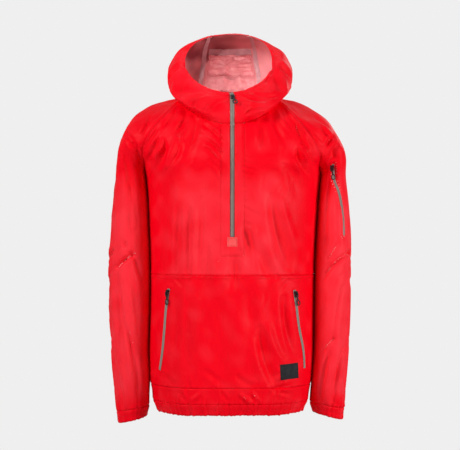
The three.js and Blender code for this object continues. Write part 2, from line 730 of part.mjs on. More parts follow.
// The centre panel's own rows and columns: it has eight columns of cells and a row each half level.
const hoodInside = facetsOf('hood_centre');
const hoodRow35 = hoodLevels.indexOf(3.5);
const insideColumns = stations([0.7, 4, 7.3], 3);
const topTapeRows = [hoodRow35 - 0.4, hoodRow35 - 0.1];
insideHood('hood_tape_top', hoodInside, insideColumns, topTapeRows, TAPE_GREY, TAPE_THICK);
insideHood('hood_gathered_panel', hoodInside, insideColumns, [
  hoodRow35 - 2.2, hoodRow35 - 2, hoodRow35 - 1, hoodRow35 - 0.45,
], PINK_INSIDE, 1.2);
insideHood('hood_neck_facing', hoodInside, insideColumns, [
  hoodRow35 - 4.2, hoodRow35 - 4, hoodRow35 - 3, hoodRow35 - 2.6,
], PINK_INSIDE, 1);

// ---- Zips ------------------------------------------------------------------------------------
/** Finds the sample of a surface that stands at x and z, between the given columns and levels. */
function locate(surface, x, z, [low, high], [bottom, top]) {
  let from = bottom;
  let to = top;
  for (let round = 0; round < 30; round += 1) {
    const middle = (from + to) / 2;
    if (surface.at(acrossAtX(surface, middle, x, low, high), middle).z < z) from = middle;
    else to = middle;
  }
  const up = (from + to) / 2;
  return surface.sample(acrossAtX(surface, up, x, low, high), up);
}
const upperFacets = facetsOf('front_upper');
const pocketFacets = facetsOf('front_pocket_panel');
const armFacets = facetsOf('sleeve_left');
const whole = (facets) => [[0.1, facets.size[0] - 0.1], [0, facets.size[1]]];
const onUpperFront = (x, z) => locate(upperFacets, x, z, ...whole(upperFacets));
const onPocketPanel = (x, z) => locate(pocketFacets, x, z, ...whole(pocketFacets));
// Only the front half of the sleeve, from the elbow to the cap.
const armWindow = [[0.4, 2 * SPAN_STEPS - 0.4], [3, armFacets.size[1] - 6]];
const onLeftArm = (x, z) => locate(armFacets, x, z, ...armWindow);

const zipHalf = ZIP_WIDTH / 2 - SEAM_GAP;
const FRONT_ZIP_LIFT = 0.2; // its face stands this far over the cloth beside it
const frontZipRow = (surface, range) => (up) => [-zipHalf, zipHalf].map((offset) => (
  surface.sample(acrossAtX(surface, up, surface.at(range[2], up).x + offset, range[0], range[1]), up)
));
const zipFoot = rowAt(ZIP_FOOT) + 0.01;
const frontZipLevels = [zipFoot, ...upperLevels.filter((level) => level > zipFoot && level < NECK)];
place('zip_front', wall([
  ...frontZipLevels.map(frontZipRow(frontSurface, [1.4, 2.8, 2])),
  ...hoodLevels.map(frontZipRow(hoodSurface, [-0.9, 0.9, 0])),
], { lift: FRONT_ZIP_LIFT, thickness: CLOTH }), ZIP_TAPE);

/** A zip laid on a surface along its middle line, read from the foot up. */
function laidZip(name, route, locateOn, extra = 0) {
  const curve = new GuideCurve(route.map(({ x, z }) => vector(x, 0, z)));
  const rows = stations([route.length - 1, 0], 3 * (route.length - 1)).map((row) => curve.at(row));
  const grid = rows.map(({ x, z }) => [-1, 0, 1].map(
    (side) => locateOn(x + side * POCKET_ZIP_WIDTH / 2, z),
  ));
  place(name, wall(grid, { thickness: ZIP_THICK, lift: ZIP_THICK + LAID + extra }), ZIP_TAPE);
}
laidZip('zip_pocket_right', POCKET_ZIPS.right, onPocketPanel);
laidZip('zip_pocket_left', POCKET_ZIPS.left, onPocketPanel);
const ARM_EXTRA = 0.7; // the rounder sleeve has higher ridges
laidZip('zip_arm', ARM_ZIP, onLeftArm, ARM_EXTRA);

/** A flat piece laid on a surface between two x and two z. */
function laidPatch(name, { x, z }, locateOn, material) {
  const grid = stations([z[1], z[0]], 2).map(
    (level) => stations(x, 3).map((across) => locateOn(across, level)),
  );
  place(name, wall(grid, { thickness: LABEL_THICK, lift: LABEL_THICK + LAID }), material);
}
laidPatch('zip_garage', GARAGE, onUpperFront, PATCH_CLOTH);
laidPatch('hem_label', LABEL, onPocketPanel, LABEL_BLACK);

// ---- Sliders and pulls -----------------------------------------------------------------------
/** A closed mesh geometry as a solid for joining. */
function toSolid(geometry) {
  const bare = geometry.clone();
  bare.deleteAttribute('normal');
  bare.deleteAttribute('uv');
  const merged = BufferGeometryUtils.mergeVertices(bare, 1e-3);
  return new wasm.Manifold(new wasm.Mesh({
    numProp: 3,
    vertProperties: merged.attributes.position.array,
    triVerts: new Uint32Array(merged.index.array),
  }));
}

/** A joined solid back as a geometry. */
function fromSolid(solid) {
  const mesh = solid.getMesh();
  const geometry = new THREE.BufferGeometry();
  geometry.setAttribute('position', new THREE.Float32BufferAttribute(mesh.vertProperties, 3));
  geometry.setIndex(new THREE.Uint32BufferAttribute(mesh.triVerts, 1));
  geometry.computeVertexNormals();
  return geometry;
}

const outline = (points) => points.map(([x, y]) => new THREE.Vector2(x, y));

/** Slider body with its bridge. Its face looks along -Y, its nose points up, +Z. */
function sliderGeometry() {
  const { width, foot, length, thick, bridgeWidth, bridgeRise, bridgeWall } = SLIDER;
  const half = length / 2;
  const nose = 1.5; // corners cut off the wide end
  const body = new THREE.ExtrudeGeometry(new THREE.Shape(outline([
    [-foot / 2, -half], [foot / 2, -half], [foot / 2, -half / 4], [width / 2, half / 3],
    [width / 2, half - nose], [width / 2 - nose, half],
    [-width / 2 + nose, half], [-width / 2, half - nose],
    [-width / 2, half / 3], [-foot / 2, -half / 4],
  ])), { depth: thick, bevelEnabled: false });
  body.rotateX(Math.PI / 2);
  const legs = SLIDER.bridgeLength / 2;
  const sunk = 0.5; // how far the bridge's feet stand in the body
  const corner = 1; // corners cut off the bridge
  const floor = 0.3; // underside of the bridge's opening, over the body's face
  const arch = new THREE.Shape(outline([
    [-legs, -sunk], [legs, -sunk], [legs, bridgeRise - corner], [legs - corner, bridgeRise],
    [-legs + corner, bridgeRise], [-legs, bridgeRise - corner],
  ]));
  const inner = legs - bridgeWall;
  const roof = bridgeRise - bridgeWall;
  arch.holes.push(new THREE.Path(outline([
    [-inner, floor], [-inner, roof], [inner, roof], [inner, floor],
  ])));
  const bridge = new THREE.ExtrudeGeometry(arch, { depth: bridgeWidth, bevelEnabled: false });
  // The arch is drawn with +X along the slider and +Y outward; turn it upright on the face.
  const upright = new THREE.Matrix4().makeBasis(vector(0, 0, 1), vector(0, -1, 0), vector(1, 0, 0));
  bridge.applyMatrix4(upright);
  bridge.translate(-bridgeWidth / 2, -thick, 0);
  return fromSolid(toSolid(body).add(toSolid(bridge)));
}

/** The pull: an eye with its bar at the origin, a stem, and a ring at the lower end. */
function pullGeometry() {
  const { thick, eyeWidth, eyeHole, bar, eyeFoot, stem, ringTop, ringEnd, ringWidth, ringWall } = PULL;
  const half = ringWidth / 2;
  const round = 2.5; // corner size of the ring
  const neckTop = eyeFoot - 0.6; // where the eye begins to narrow
  const neckFoot = eyeFoot - 2.2; // where the stem reaches its own width
  const slotFoot = eyeFoot + 0.8; // lower end of the eye's hole
  const inner = 1; // corner size inside the ring
  const shape = new THREE.Shape(outline([
    [-eyeWidth / 2, bar], [-eyeWidth / 2, neckTop], [-stem / 2, neckFoot], [-stem / 2, ringTop],
    [-half + round, ringTop], [-half, ringTop - round], [-half, ringEnd + round], [-half + round, ringEnd],
    [half - round, ringEnd], [half, ringEnd + round], [half, ringTop - round], [half - round, ringTop],
    [stem / 2, ringTop], [stem / 2, neckFoot], [eyeWidth / 2, neckTop], [eyeWidth / 2, bar],
  ]));
  shape.holes.push(new THREE.Path(outline([
    [-eyeHole / 2, -bar], [eyeHole / 2, -bar], [eyeHole / 2, slotFoot], [-eyeHole / 2, slotFoot],
  ])));
  const inside = half - ringWall;
  shape.holes.push(new THREE.Path(outline([
    [-inside, ringTop - ringWall], [inside, ringTop - ringWall], [inside, ringEnd + ringWall + inner],
    [inside - inner, ringEnd + ringWall], [-inside + inner, ringEnd + ringWall],
    [-inside, ringEnd + ringWall + inner],
  ])));
  const geometry = new THREE.ExtrudeGeometry(shape, { depth: thick, bevelEnabled: false });
  geometry.rotateX(Math.PI / 2);
  geometry.translate(0, thick / 2, 0);
  return geometry;
}

/** A frame that stands on the cloth: -Y is its outward normal and +Z runs up along the zip. */
function standOn(point, outward, upward) {
  const group = new THREE.Group();
  const back = outward.clone().negate().normalize();
  const right = back.clone().cross(upward).normalize();
  const rise = right.clone().cross(back);
  group.matrix.makeBasis(right, back, rise).setPosition(point);
  group.matrix.decompose(group.position, group.quaternion, group.scale);
  return group;
}

/** Stands a slider on its zip, with its pull hanging from the bar. */
function addSlider(name, { point, normal }, zipUp, hangUp, height, swing) {
  const base = point.clone().addScaledVector(normal, height);
  const slider = standOn(base, normal, zipUp);
  place(`slider_${name}`, sliderGeometry(), BLACK_METAL, slider);
  anorak.add(slider);
  const outward = hangUp ? vector(normal.x, normal.y, 0).normalize() : normal;
  const bar = base.clone().addScaledVector(normal, SLIDER.thick + BAR_RISE);
  const hanger = standOn(bar, outward, hangUp ?? zipUp);
  const turned = new THREE.Group();
  turned.rotation.y = -THREE.MathUtils.degToRad(swing);
  place(`pull_${name}`, pullGeometry(), BLACK_METAL, turned);
  hanger.add(turned);
  anorak.add(hanger);
}

const PLUMB = vector(0, 0, 1);
const zipClearance = 0.4;
const laidHeight = LAID + ZIP_THICK + zipClearance;
const HALVINGS = 30; // fine enough for a thousandth of a millimetre
/** The hood level at which its front middle line reaches a height. */
function frontPlace(z) {
  let low = 0;
  let high = BRIM_ROW;
  for (let round = 0; round < HALVINGS; round += 1) {
    const middle = (low + high) / 2;
    if (hoodSurface.at(0, middle).z < z) {
      low = middle;
    } else {
      high = middle;
    }
  }
  return low;
}
const frontLevel = frontPlace(SLIDER_PLACES.front.z);
const levelStep = 0.1; // over which the zip's own direction is taken
const frontUp = hoodSurface.at(0, frontLevel + levelStep)
  .sub(hoodSurface.at(0, frontLevel - levelStep))
  .normalize();
const frontHeight = FRONT_ZIP_LIFT + zipClearance;
const frontPoint = hoodSurface.sample(0, frontLevel);
addSlider('front', frontPoint, frontUp, null, frontHeight, SLIDER_PLACES.front.swing);
const upAlong = (route) => vector(route[0].x - route[1].x, 0, route[0].z - route[1].z).normalize();
/** A slider on a laid zip, with its pull hanging plumb. */
function addLaidSlider(name, locateOn, route, height) {
  const { x, z, swing } = SLIDER_PLACES[name];
  addSlider(name, locateOn(x, z), upAlong(route), PLUMB, height, swing);
}
addLaidSlider('pocket_right', onPocketPanel, POCKET_ZIPS.right, laidHeight);
addLaidSlider('pocket_left', onPocketPanel, POCKET_ZIPS.left, laidHeight);
addLaidSlider('arm', onLeftArm, ARM_ZIP, laidHeight + 2 * ARM_EXTRA);

export default anorak;
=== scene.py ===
"""Hooded half-zip anorak in thin red shell cloth, filled out as if worn, with nobody in it.

Metres, +Z up. The front faces -Y, the wearer's left arm is at +X and the origin is inside the
neck, level with the high point of the shoulders. Every cloth piece is a thin closed shell on one
of three nets of guide points: the trunk, the sleeves and the hood. The folds are troughs and
ridges laid over all three, so that they run on from one piece to the next.
"""
import logging
import math
from collections.abc import Callable, Sequence
from dataclasses import dataclass, field
from enum import Enum
from typing import Any

import bpy
import numpy as np
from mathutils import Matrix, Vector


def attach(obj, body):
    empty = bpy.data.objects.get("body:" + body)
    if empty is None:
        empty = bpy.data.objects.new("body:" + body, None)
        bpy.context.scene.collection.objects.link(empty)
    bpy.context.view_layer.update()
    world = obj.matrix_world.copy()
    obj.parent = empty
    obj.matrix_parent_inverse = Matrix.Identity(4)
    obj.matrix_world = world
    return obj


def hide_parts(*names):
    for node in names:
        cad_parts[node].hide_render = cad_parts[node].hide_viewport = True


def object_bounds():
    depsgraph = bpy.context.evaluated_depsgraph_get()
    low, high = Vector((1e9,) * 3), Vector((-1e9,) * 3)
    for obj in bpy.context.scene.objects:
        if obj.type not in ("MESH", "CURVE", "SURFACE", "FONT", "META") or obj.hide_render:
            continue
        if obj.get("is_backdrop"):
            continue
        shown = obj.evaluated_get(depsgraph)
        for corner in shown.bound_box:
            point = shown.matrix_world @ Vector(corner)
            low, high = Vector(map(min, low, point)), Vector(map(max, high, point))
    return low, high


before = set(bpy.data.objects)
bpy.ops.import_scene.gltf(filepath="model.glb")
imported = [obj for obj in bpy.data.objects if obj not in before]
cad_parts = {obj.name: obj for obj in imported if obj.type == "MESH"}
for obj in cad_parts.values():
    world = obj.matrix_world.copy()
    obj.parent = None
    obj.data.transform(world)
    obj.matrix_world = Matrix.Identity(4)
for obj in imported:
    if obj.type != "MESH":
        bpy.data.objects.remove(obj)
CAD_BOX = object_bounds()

log = logging.getLogger("anorak")

MM = 0.001
GARMENT = "garment"  # the body that all the cloth rides on
Array = np.ndarray
Material = bpy.types.Material
Colour = tuple[float, float, float]
Point2 = tuple[float, float]


class View(Enum):
    """The side that a fold is laid on, as the outward direction it is seen from."""

    FRONT = (0, -1, 0)
    BACK = (0, 1, 0)
    LEFT = (1, 0, 0)
    RIGHT = (-1, 0, 0)


class Edge(Enum):
    """An edge of a patch: its lowest or highest level, or its first or last column."""

    FOOT = 0
    TOP = 1
    START = 2
    END = 3


# ---- Sizes that the pieces share, in millimetres as a maker writes them ----
PITCH = 3.35 * MM  # size of a cell of the fine cloth
SHELL_THICK = 0.7 * MM
FRONT_X = 5
ZIP_WIDTH = 10
ZIP_FOOT, POCKET_SEAM, HEM_SEAM, CASING_SEAM, HEM_EDGE = -310, -394, -641, -677, -702

# The trunk below the armpits: z, half widths to the wearer's right and left, depths to the front
# and the back.
TRUNK = (
    (HEM_EDGE, 163, 164, 127, 116),
    (CASING_SEAM, 173, 175, 135, 122),
    (HEM_SEAM, 176, 180, 139, 126),
    (-555, 179, 185, 141, 128),
    (-475, 176, 186, 140, 127),
    (POCKET_SEAM, 176, 187, 140, 125),
    (ZIP_FOOT, 178, 190, 140, 123),
    (-240, 183, 197, 141, 121),
    (-172, 190, 205, 141, 120),
)
TRUNK_SQUARE = 2.5  # exponent of the trunk's outline, 2 for an ellipse
ARMPIT = len(TRUNK) - 1

# The yoke above the armpits: guide points of the left half, from the armpit to the neck seam.
YOKE = (
    dict(front=(-142, -150), chest=(152, -114, -147), raglan_front=(198, -45, -149),
         sleeve_front=(238, -71, -141), shoulder=(252, 2, -130), sleeve_back=(237, 66, -136),
         raglan_back=(201, 40, -148), blade=(150, 97, -138), back=(122, -132)),
    dict(front=(-142, -128), chest=(144, -119, -122), raglan_front=(196, -89, -118),
         sleeve_front=(230, -82, -106), shoulder=(240, 2, -88), sleeve_back=(228, 70, -100),
         raglan_back=(194, 68, -118), blade=(139, 101, -103), back=(121, -92)),
    dict(front=(-140, -106), chest=(127, -120, -96), raglan_front=(180, -101, -84),
         sleeve_front=(207, -86, -70), shoulder=(218, 2, -44), sleeve_back=(204, 68, -64),
         raglan_back=(172, 82, -80), blade=(119, 100, -64), back=(116, -52)),
    dict(front=(-136, -85), chest=(106, -113, -69), raglan_front=(149, -94, -46),
         sleeve_front=(170, -62, -36), shoulder=(175, 2, -13), sleeve_back=(165, 58, -27),
         raglan_back=(138, 75, -38), blade=(92, 90, -27), back=(102, -16)),
    dict(front=(-127, -64), chest=(79, -92, -36), raglan_front=(107, -44, -5),
         sleeve_front=(111, -22, 0), shoulder=(112, 0, 3), sleeve_back=(106, 28, 7),
         raglan_back=(92, 54, 9), blade=(56, 67, 10), back=(72, 10)),
)
NECK = ARMPIT + len(YOKE)


@dataclass(frozen=True)
class ArmShape:
    """One sleeve's net: a row gives inner and outer x, their z, and the reach front and back."""

    side: int
    spread: float
    lift: float
    rows: tuple[tuple[float, ...], ...]


ARMS = {
    "right": ArmShape(-1, -7, 4, (
        (189, 253, -716, -731, -48, 30), (184, 257, -690, -704, -54, 36),
        (182, 262, -640, -650, -62, 44), (184, 269, -560, -568, -67, 50),
        (182, 273, -470, -474, -69, 55), (181, 274, -385, -385, -68, 60),
        (183, 271, -300, -298, -67, 63), (185, 265, -230, -226, -66, 64),
    )),
    "left": ArmShape(1, 3, -4, (
        (188, 255, -706, -723, -48, 30), (182, 258, -682, -696, -54, 36),
        (184, 261, -640, -648, -62, 44), (190, 267, -560, -566, -67, 50),
        (191, 271, -470, -472, -69, 55), (192, 272, -385, -385, -68, 60),
        (196, 272, -300, -298, -67, 63), (199, 266, -230, -226, -66, 64),
    )),
}
CUFF_ROW = 1
SLEEVE_ARMPIT = len(ARMS["right"].rows)
UPPER_ARM = (259, -66, 64)  # the sleeve's reach outward, to the front and to the back
VALLEY_LEVELS = 3  # yoke levels over which the fold beside the armpit runs out

# The hood above the neck seam. throat and crown lie on the centre lines.
HOOD = (
    dict(throat=(-133, -50), cheek=(88, -119, -29), temple=(131, -36, 16),
         nape=(98, 76, 20), crown=(104, 18)),
    dict(throat=(-127, -26), cheek=(104, -104, -3), temple=(139, -8, 45),
         nape=(118, 100, 50), crown=(148, 48)),
    dict(throat=(-114, -7), cheek=(92, -92, 17), temple=(134, 8, 82),
         nape=(108, 112, 96), crown=(160, 96)),
    dict(throat=(-106, 1), cheek=(76, -88, 23), temple=(116, -6, 100),
         nape=(86, 62, 137), crown=(92, 155)),
)
BRIM_THROAT, BRIM_CROWN = (2, -100, 8), (-8, 43, 153)
BRIM_LEFT = dict(cheek=(58, -84, 25), temple=(94, -14, 95), nape=(74, 24, 134))
BRIM_RIGHT = dict(cheek=(61, -84, 25), temple=(101, -16, 93), nape=(71, 26, 136))
# Where the nine guide lines of the neck seam, front to back, run up the hood's five.
HOOD_SHARE = (0, 1, 1.62, 1.84, 2.08, 2.5, 3, 3.46, 4)
BRIM_ROW = len(HOOD) + 1
NECK_COLUMNS = 16
SIDE_SEAM = 7  # the guide line where a hood side meets the centre panel

# Zips laid on a panel: their middle lines in x and z, from the top down.
POCKET_ZIPS = {
    "right": ((-134, -424), (-140, -463), (-144, -510), (-148, -555), (-155, -604)),
    "left": ((141, -427), (146, -463), (152, -510), (162, -562), (164.5, -601)),
}
ARM_ZIP = ((230, -148), (232, -184), (242, -208), (249, -240), (253, -272), (254, -308))


# ---- Small vector helpers ----
def unit(vectors: Array) -> Array:
    """Vectors of length one, along the last axis."""
    return vectors / np.maximum(np.linalg.norm(vectors, axis=-1, keepdims=True), 1e-12)


def smooth_step(value: Array | float) -> Array:
    """Runs smoothly from 0 to 1 as value does, and stays there outside."""
    held = np.clip(value, 0, 1)
    return held * held * (3 - 2 * held)


def bell(value: Array, middle: float, width: float) -> Array:
    """A smooth bump of height 1 at middle, which fades out in about twice its width."""
    return np.exp(-(((value - middle) / width) ** 2))


def circle_tangent(before: Array, here: Array, after: Array) -> Array:
    """Direction of the circle through three neighbours, at the middle one."""
    back, ahead = here - before, after - here
    back = back / np.sum(back * back, axis=-1, keepdims=True)
    ahead = ahead / np.sum(ahead * ahead, axis=-1, keepdims=True)
    return unit(back + ahead)


def mirrored_tangent(start: Array, end: Array, tangent: Array) -> Array:
    """The direction at one end of an arc, from the direction at its other end."""
    chord = unit(end - start)
    return unit(2 * np.sum(chord * tangent, axis=-1, keepdims=True) * chord - tangent)


class GuideCurve:
    """Smooth curves through guide points, one curve for each level.

    A curve is a true arc where its points lie on a circle.
    """

    def __init__(self, points: Array, closed: bool = False) -> None:
        """Args: points, an array of (levels, guide points, 3); closed, for rings."""
        self.points = points
        self.closed = closed
        if closed:
            before, after = np.roll(points, 1, axis=1), np.roll(points, -1, axis=1)
            self.tangents = circle_tangent(before, points, after)
            return
        middle = circle_tangent(points[:, :-2], points[:, 1:-1], points[:, 2:])
        first = mirrored_tangent(points[:, 0], points[:, 1], middle[:, 0])
        last = mirrored_tangent(points[:, -2], points[:, -1], middle[:, -1])
        self.tangents = np.concatenate([first[:, None], middle, last[:, None]], axis=1)

    def at(self, across: Array) -> Array:
        """Points at positions counted in guide points.

        Args:
            across: positions, an array of (levels, columns).

        Returns:
            The points, an array of (levels, columns, 3).
        """
        count = self.points.shape[1]
        spans = count if self.closed else count - 1
        wrapped = np.mod(across, spans) if self.closed else across
        span = np.clip(np.floor(wrapped), 0, spans - 1).astype(int)
        share = (wrapped - span)[..., None]
        rows = np.arange(len(self.points))[:, None]
        following = (span + 1) % count
        start, end = self.points[rows, span], self.points[rows, following]
        leave, arrive = self.tangents[rows, span], self.tangents[rows, following]
        turn = np.arccos(np.clip(np.sum(leave * arrive, axis=-1, keepdims=True), -1, 1))
        pull = np.linalg.norm(end - start, axis=-1, keepdims=True) / np.cos(turn / 4) ** 2
        squared, cubed = share**2, share**3
        return (
            start * (2 * cubed - 3 * squared + 1)
            + leave * (cubed - 2 * squared + share) * pull
            + end * (3 * squared - 2 * cubed)
            + arrive * (cubed - squared) * pull
        )


class GuideLine:
    """A guide line of a net, through points at the levels first, first + 1 and so on."""

    def __init__(self, points: Sequence[Sequence[float]], first: float = 0) -> None:
        """Args: points in millimetres; first, the level of the first of them."""
        self.curve = GuideCurve(np.array(points, dtype=float)[None] * MM)
        self.first = first

    def at(self, ups: Array) -> Array:
        """Points at the levels ups, an array of (levels, 3)."""
        return self.curve.at((ups - self.first)[None])[0]


class Surface:
    """A surface with a point at each across and up, across running anticlockwise from above."""

    STEP = 0.01  # for directions along the surface

    def at(self, across: Array, ups: Array) -> Array:
        """Points for across (levels, columns) at ups (levels)."""
        raise NotImplementedError

    def sample(self, across: Array, ups: Array) -> tuple[Array, Array]:
        """Points and outward normals, each (levels, columns, 3)."""
        along = self.at(across + self.STEP, ups) - self.at(across - self.STEP, ups)
        rise = self.at(across, ups + self.STEP) - self.at(across, ups - self.STEP)
        return self.at(across, ups), unit(np.cross(along, rise))

    def across_at_x(self, ups: Array, x: Array, low: float, high: float) -> Array:
        """The position on each level where the surface crosses x, between low and high."""
        start, stop = np.full(len(ups), float(low)), np.full(len(ups), float(high))
        rising = self.at(stop[:, None], ups)[:, 0, 0] > self.at(start[:, None], ups)[:, 0, 0]
        for _ in range(30):
            middle = (start + stop) / 2
            below = (self.at(middle[:, None], ups)[:, 0, 0] < x) == rising
            start, stop = np.where(below, middle, start), np.where(below, stop, middle)
        return (start + stop) / 2


class RingSurface(Surface):
    """A surface whose levels are closed rings through guide lines."""

    def __init__(self, lines: Sequence[GuideLine]) -> None:
        """Args: lines, anticlockwise from above."""
        self.lines = lines

    def curve(self, ups: Array) -> GuideCurve:
        """The rings at the given levels."""
        return GuideCurve(np.stack([line.at(ups) for line in self.lines], axis=1), closed=True)

    def at(self, across: Array, ups: Array) -> Array:
        """Points for across (levels, columns) at ups (levels)."""
        return self.curve(ups).at(across)


class ArmholeSurface(Surface):
    """Closed rings up to the armpit and open rows above it, which end at the raglan seams.

    Low down, body and sleeve meet there in a valley and each keeps its ring's direction; higher
    up they run smoothly into each other.
    """

    def __init__(
        self, armpit: int, rings: RingSurface, ring_start: int, row: Sequence[GuideLine],
        beyond: Sequence[GuideLine],
    ) -> None:
        """Args: armpit level, rings, the row's place on them, its lines and the next ones."""
        self.armpit, self.rings, self.ring_start = armpit, rings, ring_start
        self.row, self.beyond = row, beyond
        points = rings.curve(np.array([float(armpit)])).points[0]
        count = len(points)
        self.valley = []
        for index in (ring_start, (ring_start + len(row) - 1) % count):
            around = points[(index - 1) % count], points[index], points[(index + 1) % count]
            self.valley.append(circle_tangent(*around))

    def at(self, across: Array, ups: Array) -> Array:
        """Points for across (levels, columns) at ups (levels)."""
        result = np.empty((*across.shape, 3))
        low = ups <= self.armpit
        if low.any():
            result[low] = self.rings.at(across[low] + self.ring_start, ups[low])
        high = ~low
        if high.any():
            result[high] = self._open_rows(across[high], ups[high])
        return result

    def _open_rows(self, across: Array, ups: Array) -> Array:
        """Points on the open rows above the armpit."""
        points = np.stack([line.at(ups) for line in self.row], axis=1)
        curve = GuideCurve(points)
        smooth = smooth_step((ups - self.armpit) / VALLEY_LEVELS)[:, None]
        first = circle_tangent(self.beyond[0].at(ups), points[:, 0], points[:, 1])
        final = circle_tangent(points[:, -2], points[:, -1], self.beyond[1].at(ups))
        curve.tangents[:, 0] = unit(self.valley[0] * (1 - smooth) + first * smooth)
        curve.tangents[:, -1] = unit(self.valley[1] * (1 - smooth) + final * smooth)
        return curve.at(across)


def yoke_point(guide: Sequence[float], arm: ArmShape, level: int) -> tuple[float, float, float]:
    """One yoke guide point on one side: its spread and lift fade out towards the neck seam."""
    fade = 1 - (level + 1) / len(YOKE)
    x, y, z = guide
    return arm.side * (x + arm.spread * fade), y, z + arm.lift * min(1, 2 * fade)


class Net:
    """The guide lines of the whole garment and the surfaces on them."""

    def __init__(self) -> None:
        """Builds the lines and the surfaces from the tables."""
        self.front_line = GuideLine(
            [(FRONT_X, -front, z) for z, _, _, front, _ in TRUNK]
            + [(FRONT_X, *row["front"]) for row in YOKE]
        )
        self.back_line = GuideLine(
            [(0, back, z) for z, _, _, _, back in TRUNK] + [(0, *row["back"]) for row in YOKE]
        )
        self.lines = {name: self._side_lines(name) for name in ARMS}
        right, left = self.lines["right"], self.lines["left"]
        self.trunk_rings = RingSurface([
            right["edge"], right["chest"], self.front_line, left["chest"],
            left["edge"], left["blade"], self.back_line, right["blade"],
        ])
        self.front = ArmholeSurface(
            ARMPIT, self.trunk_rings, 0,
            [right["raglan_front"], right["chest"], self.front_line, left["chest"],
             left["raglan_front"]],
            [right["ahead"], left["ahead"]],
        )
        self.back = ArmholeSurface(
            ARMPIT, self.trunk_rings, 4,
            [left["raglan_back"], left["blade"], self.back_line, right["blade"],
             right["raglan_back"]],
            [left["behind"], right["behind"]],
        )
        self.sleeves = {name: self._sleeve(name) for name in ARMS}
        self.hood = self._hood()

    @staticmethod
    def _side_lines(name: str) -> dict[str, GuideLine]:
        """The guide lines of one side, each through its levels of trunk, sleeve and yoke.

        Levels are counted from the hem on the trunk and, because both have eight rows below
        the armpit, from the cuff's edge on the sleeve.
        """
        arm = ARMS[name]
        square = math.sqrt(0.5) ** (2 / TRUNK_SQUARE)
        half = {"right": 1, "left": 2}[name]
        chest = [(arm.side * row[half] * square, -row[3] * square, row[0]) for row in TRUNK]
        blade = [(arm.side * row[half] * square, row[4] * square, row[0]) for row in TRUNK]
        edge = [(arm.side * row[half], 0, row[0]) for row in TRUNK]
        armpit = edge[-1]
        inside, outside, ahead, behind = [], [], [], []
        for inner, outer, inner_z, outer_z, front, back in arm.rows:
            middle_x, middle_z = arm.side * (inner + outer) / 2, (inner_z + outer_z) / 2
            inside.append((arm.side * inner, (front + back) / 2, inner_z))
            outside.append((arm.side * outer, (front + back) / 2, outer_z))
            ahead.append((middle_x, front, middle_z))
            behind.append((middle_x, back, middle_z))
        reach, front, back = UPPER_ARM
        middle = (abs(armpit[0]) + reach) / 2 * arm.side
        outside.append((arm.side * reach, 2, armpit[2]))
        ahead.append((middle, front, armpit[2]))
        behind.append((middle, back, armpit[2]))

        def yoke(guide: str) -> list[tuple[float, float, float]]:
            """The yoke's points on one guide line."""
            return [yoke_point(row[guide], arm, level) for level, row in enumerate(YOKE)]

        return {
            "chest": GuideLine(chest + yoke("chest")),
            "blade": GuideLine(blade + yoke("blade")),
            "edge": GuideLine(edge),
            "raglan_front": GuideLine([armpit, *yoke("raglan_front")], ARMPIT),
            "raglan_back": GuideLine([armpit, *yoke("raglan_back")], ARMPIT),
            "inside": GuideLine([*inside, armpit]),
            "ahead": GuideLine(ahead + yoke("sleeve_front")),
            "outside": GuideLine(outside + yoke("shoulder")),
            "behind": GuideLine(behind + yoke("sleeve_back")),
        }

    def _sleeve(self, name: str) -> ArmholeSurface:
        """A sleeve, from one raglan seam over the shoulder to the other, anticlockwise."""
        line = self.lines[name]
        ring = [line["inside"], line["ahead"], line["outside"], line["behind"]]
        row = [line["raglan_front"], line["ahead"], line["outside"], line["behind"],
               line["raglan_back"]]
        beyond = [line["chest"], line["blade"]]
        if name == "right":
            ring = [ring[0], *reversed(ring[1:])]
            row.reverse()
            beyond.reverse()
        return ArmholeSurface(SLEEVE_ARMPIT, RingSurface(ring), 0, row, beyond)

    @staticmethod
    def _neck_seam(name: str) -> list[tuple[float, float, float]]:
        """The nine guide points of the neck seam on one side, front centre to back centre."""
        neck = YOKE[-1]
        guides = ("chest", "raglan_front", "sleeve_front", "shoulder", "sleeve_back",
                  "raglan_back", "blade")
        seam = [yoke_point(neck[guide], ARMS[name], len(YOKE) - 1) for guide in guides]
        return [(FRONT_X, *neck["front"]), *seam, (0, *neck["back"])]

    def _hood(self) -> RingSurface:
        """The hood, with sixteen columns that start at the centre front."""
        right, left = self._neck_seam("right"), self._neck_seam("left")
        rows = [np.array([*left, *right[7:0:-1]], dtype=float)]
        for row in HOOD:
            sides = {
                side: {guide: (side * row[guide][0], *row[guide][1:])
                       for guide in ("cheek", "temple", "nape")}
                for side in (1, -1)
            }
            ends = (FRONT_X, *row["throat"]), (0, *row["crown"])
            rows.append(self._hood_row(*ends, sides[1], sides[-1]))
        brim_right = {guide: (-x, y, z) for guide, (x, y, z) in BRIM_RIGHT.items()}
        rows.append(self._hood_row(BRIM_THROAT, BRIM_CROWN, BRIM_LEFT, brim_right))
        columns = [GuideLine([row[column] for row in rows]) for column in range(NECK_COLUMNS)]
        return RingSurface(columns)

    @staticmethod
    def _hood_row(
        throat: Sequence[float], crown: Sequence[float], left: dict, right: dict,
    ) -> Array:
        """A closed hood level, read at the neck seam's columns, in millimetres."""
        loop = GuideCurve(np.array([[
            throat, left["cheek"], left["temple"], left["nape"], crown,
            right["nape"], right["temple"], right["cheek"],
        ]], dtype=float), closed=True)
        shares = [*HOOD_SHARE, *(8 - share for share in HOOD_SHARE[7:0:-1])]
        return loop.at(np.array([shares], dtype=float))[0]


# ---- Folds ----
CRISPNESS = 2.5  # every crease is this many times as deep as written
SMALL_DEPTH = 0.55  # the share of its written depth that a scattered crease keeps before that
ROLLED_SHARE = 0.4  # the share of the scattered creases that stand up as ridges
FIRM_REACH = 11  # distance from a zip, in millimetres, within which the cloth has no other folds


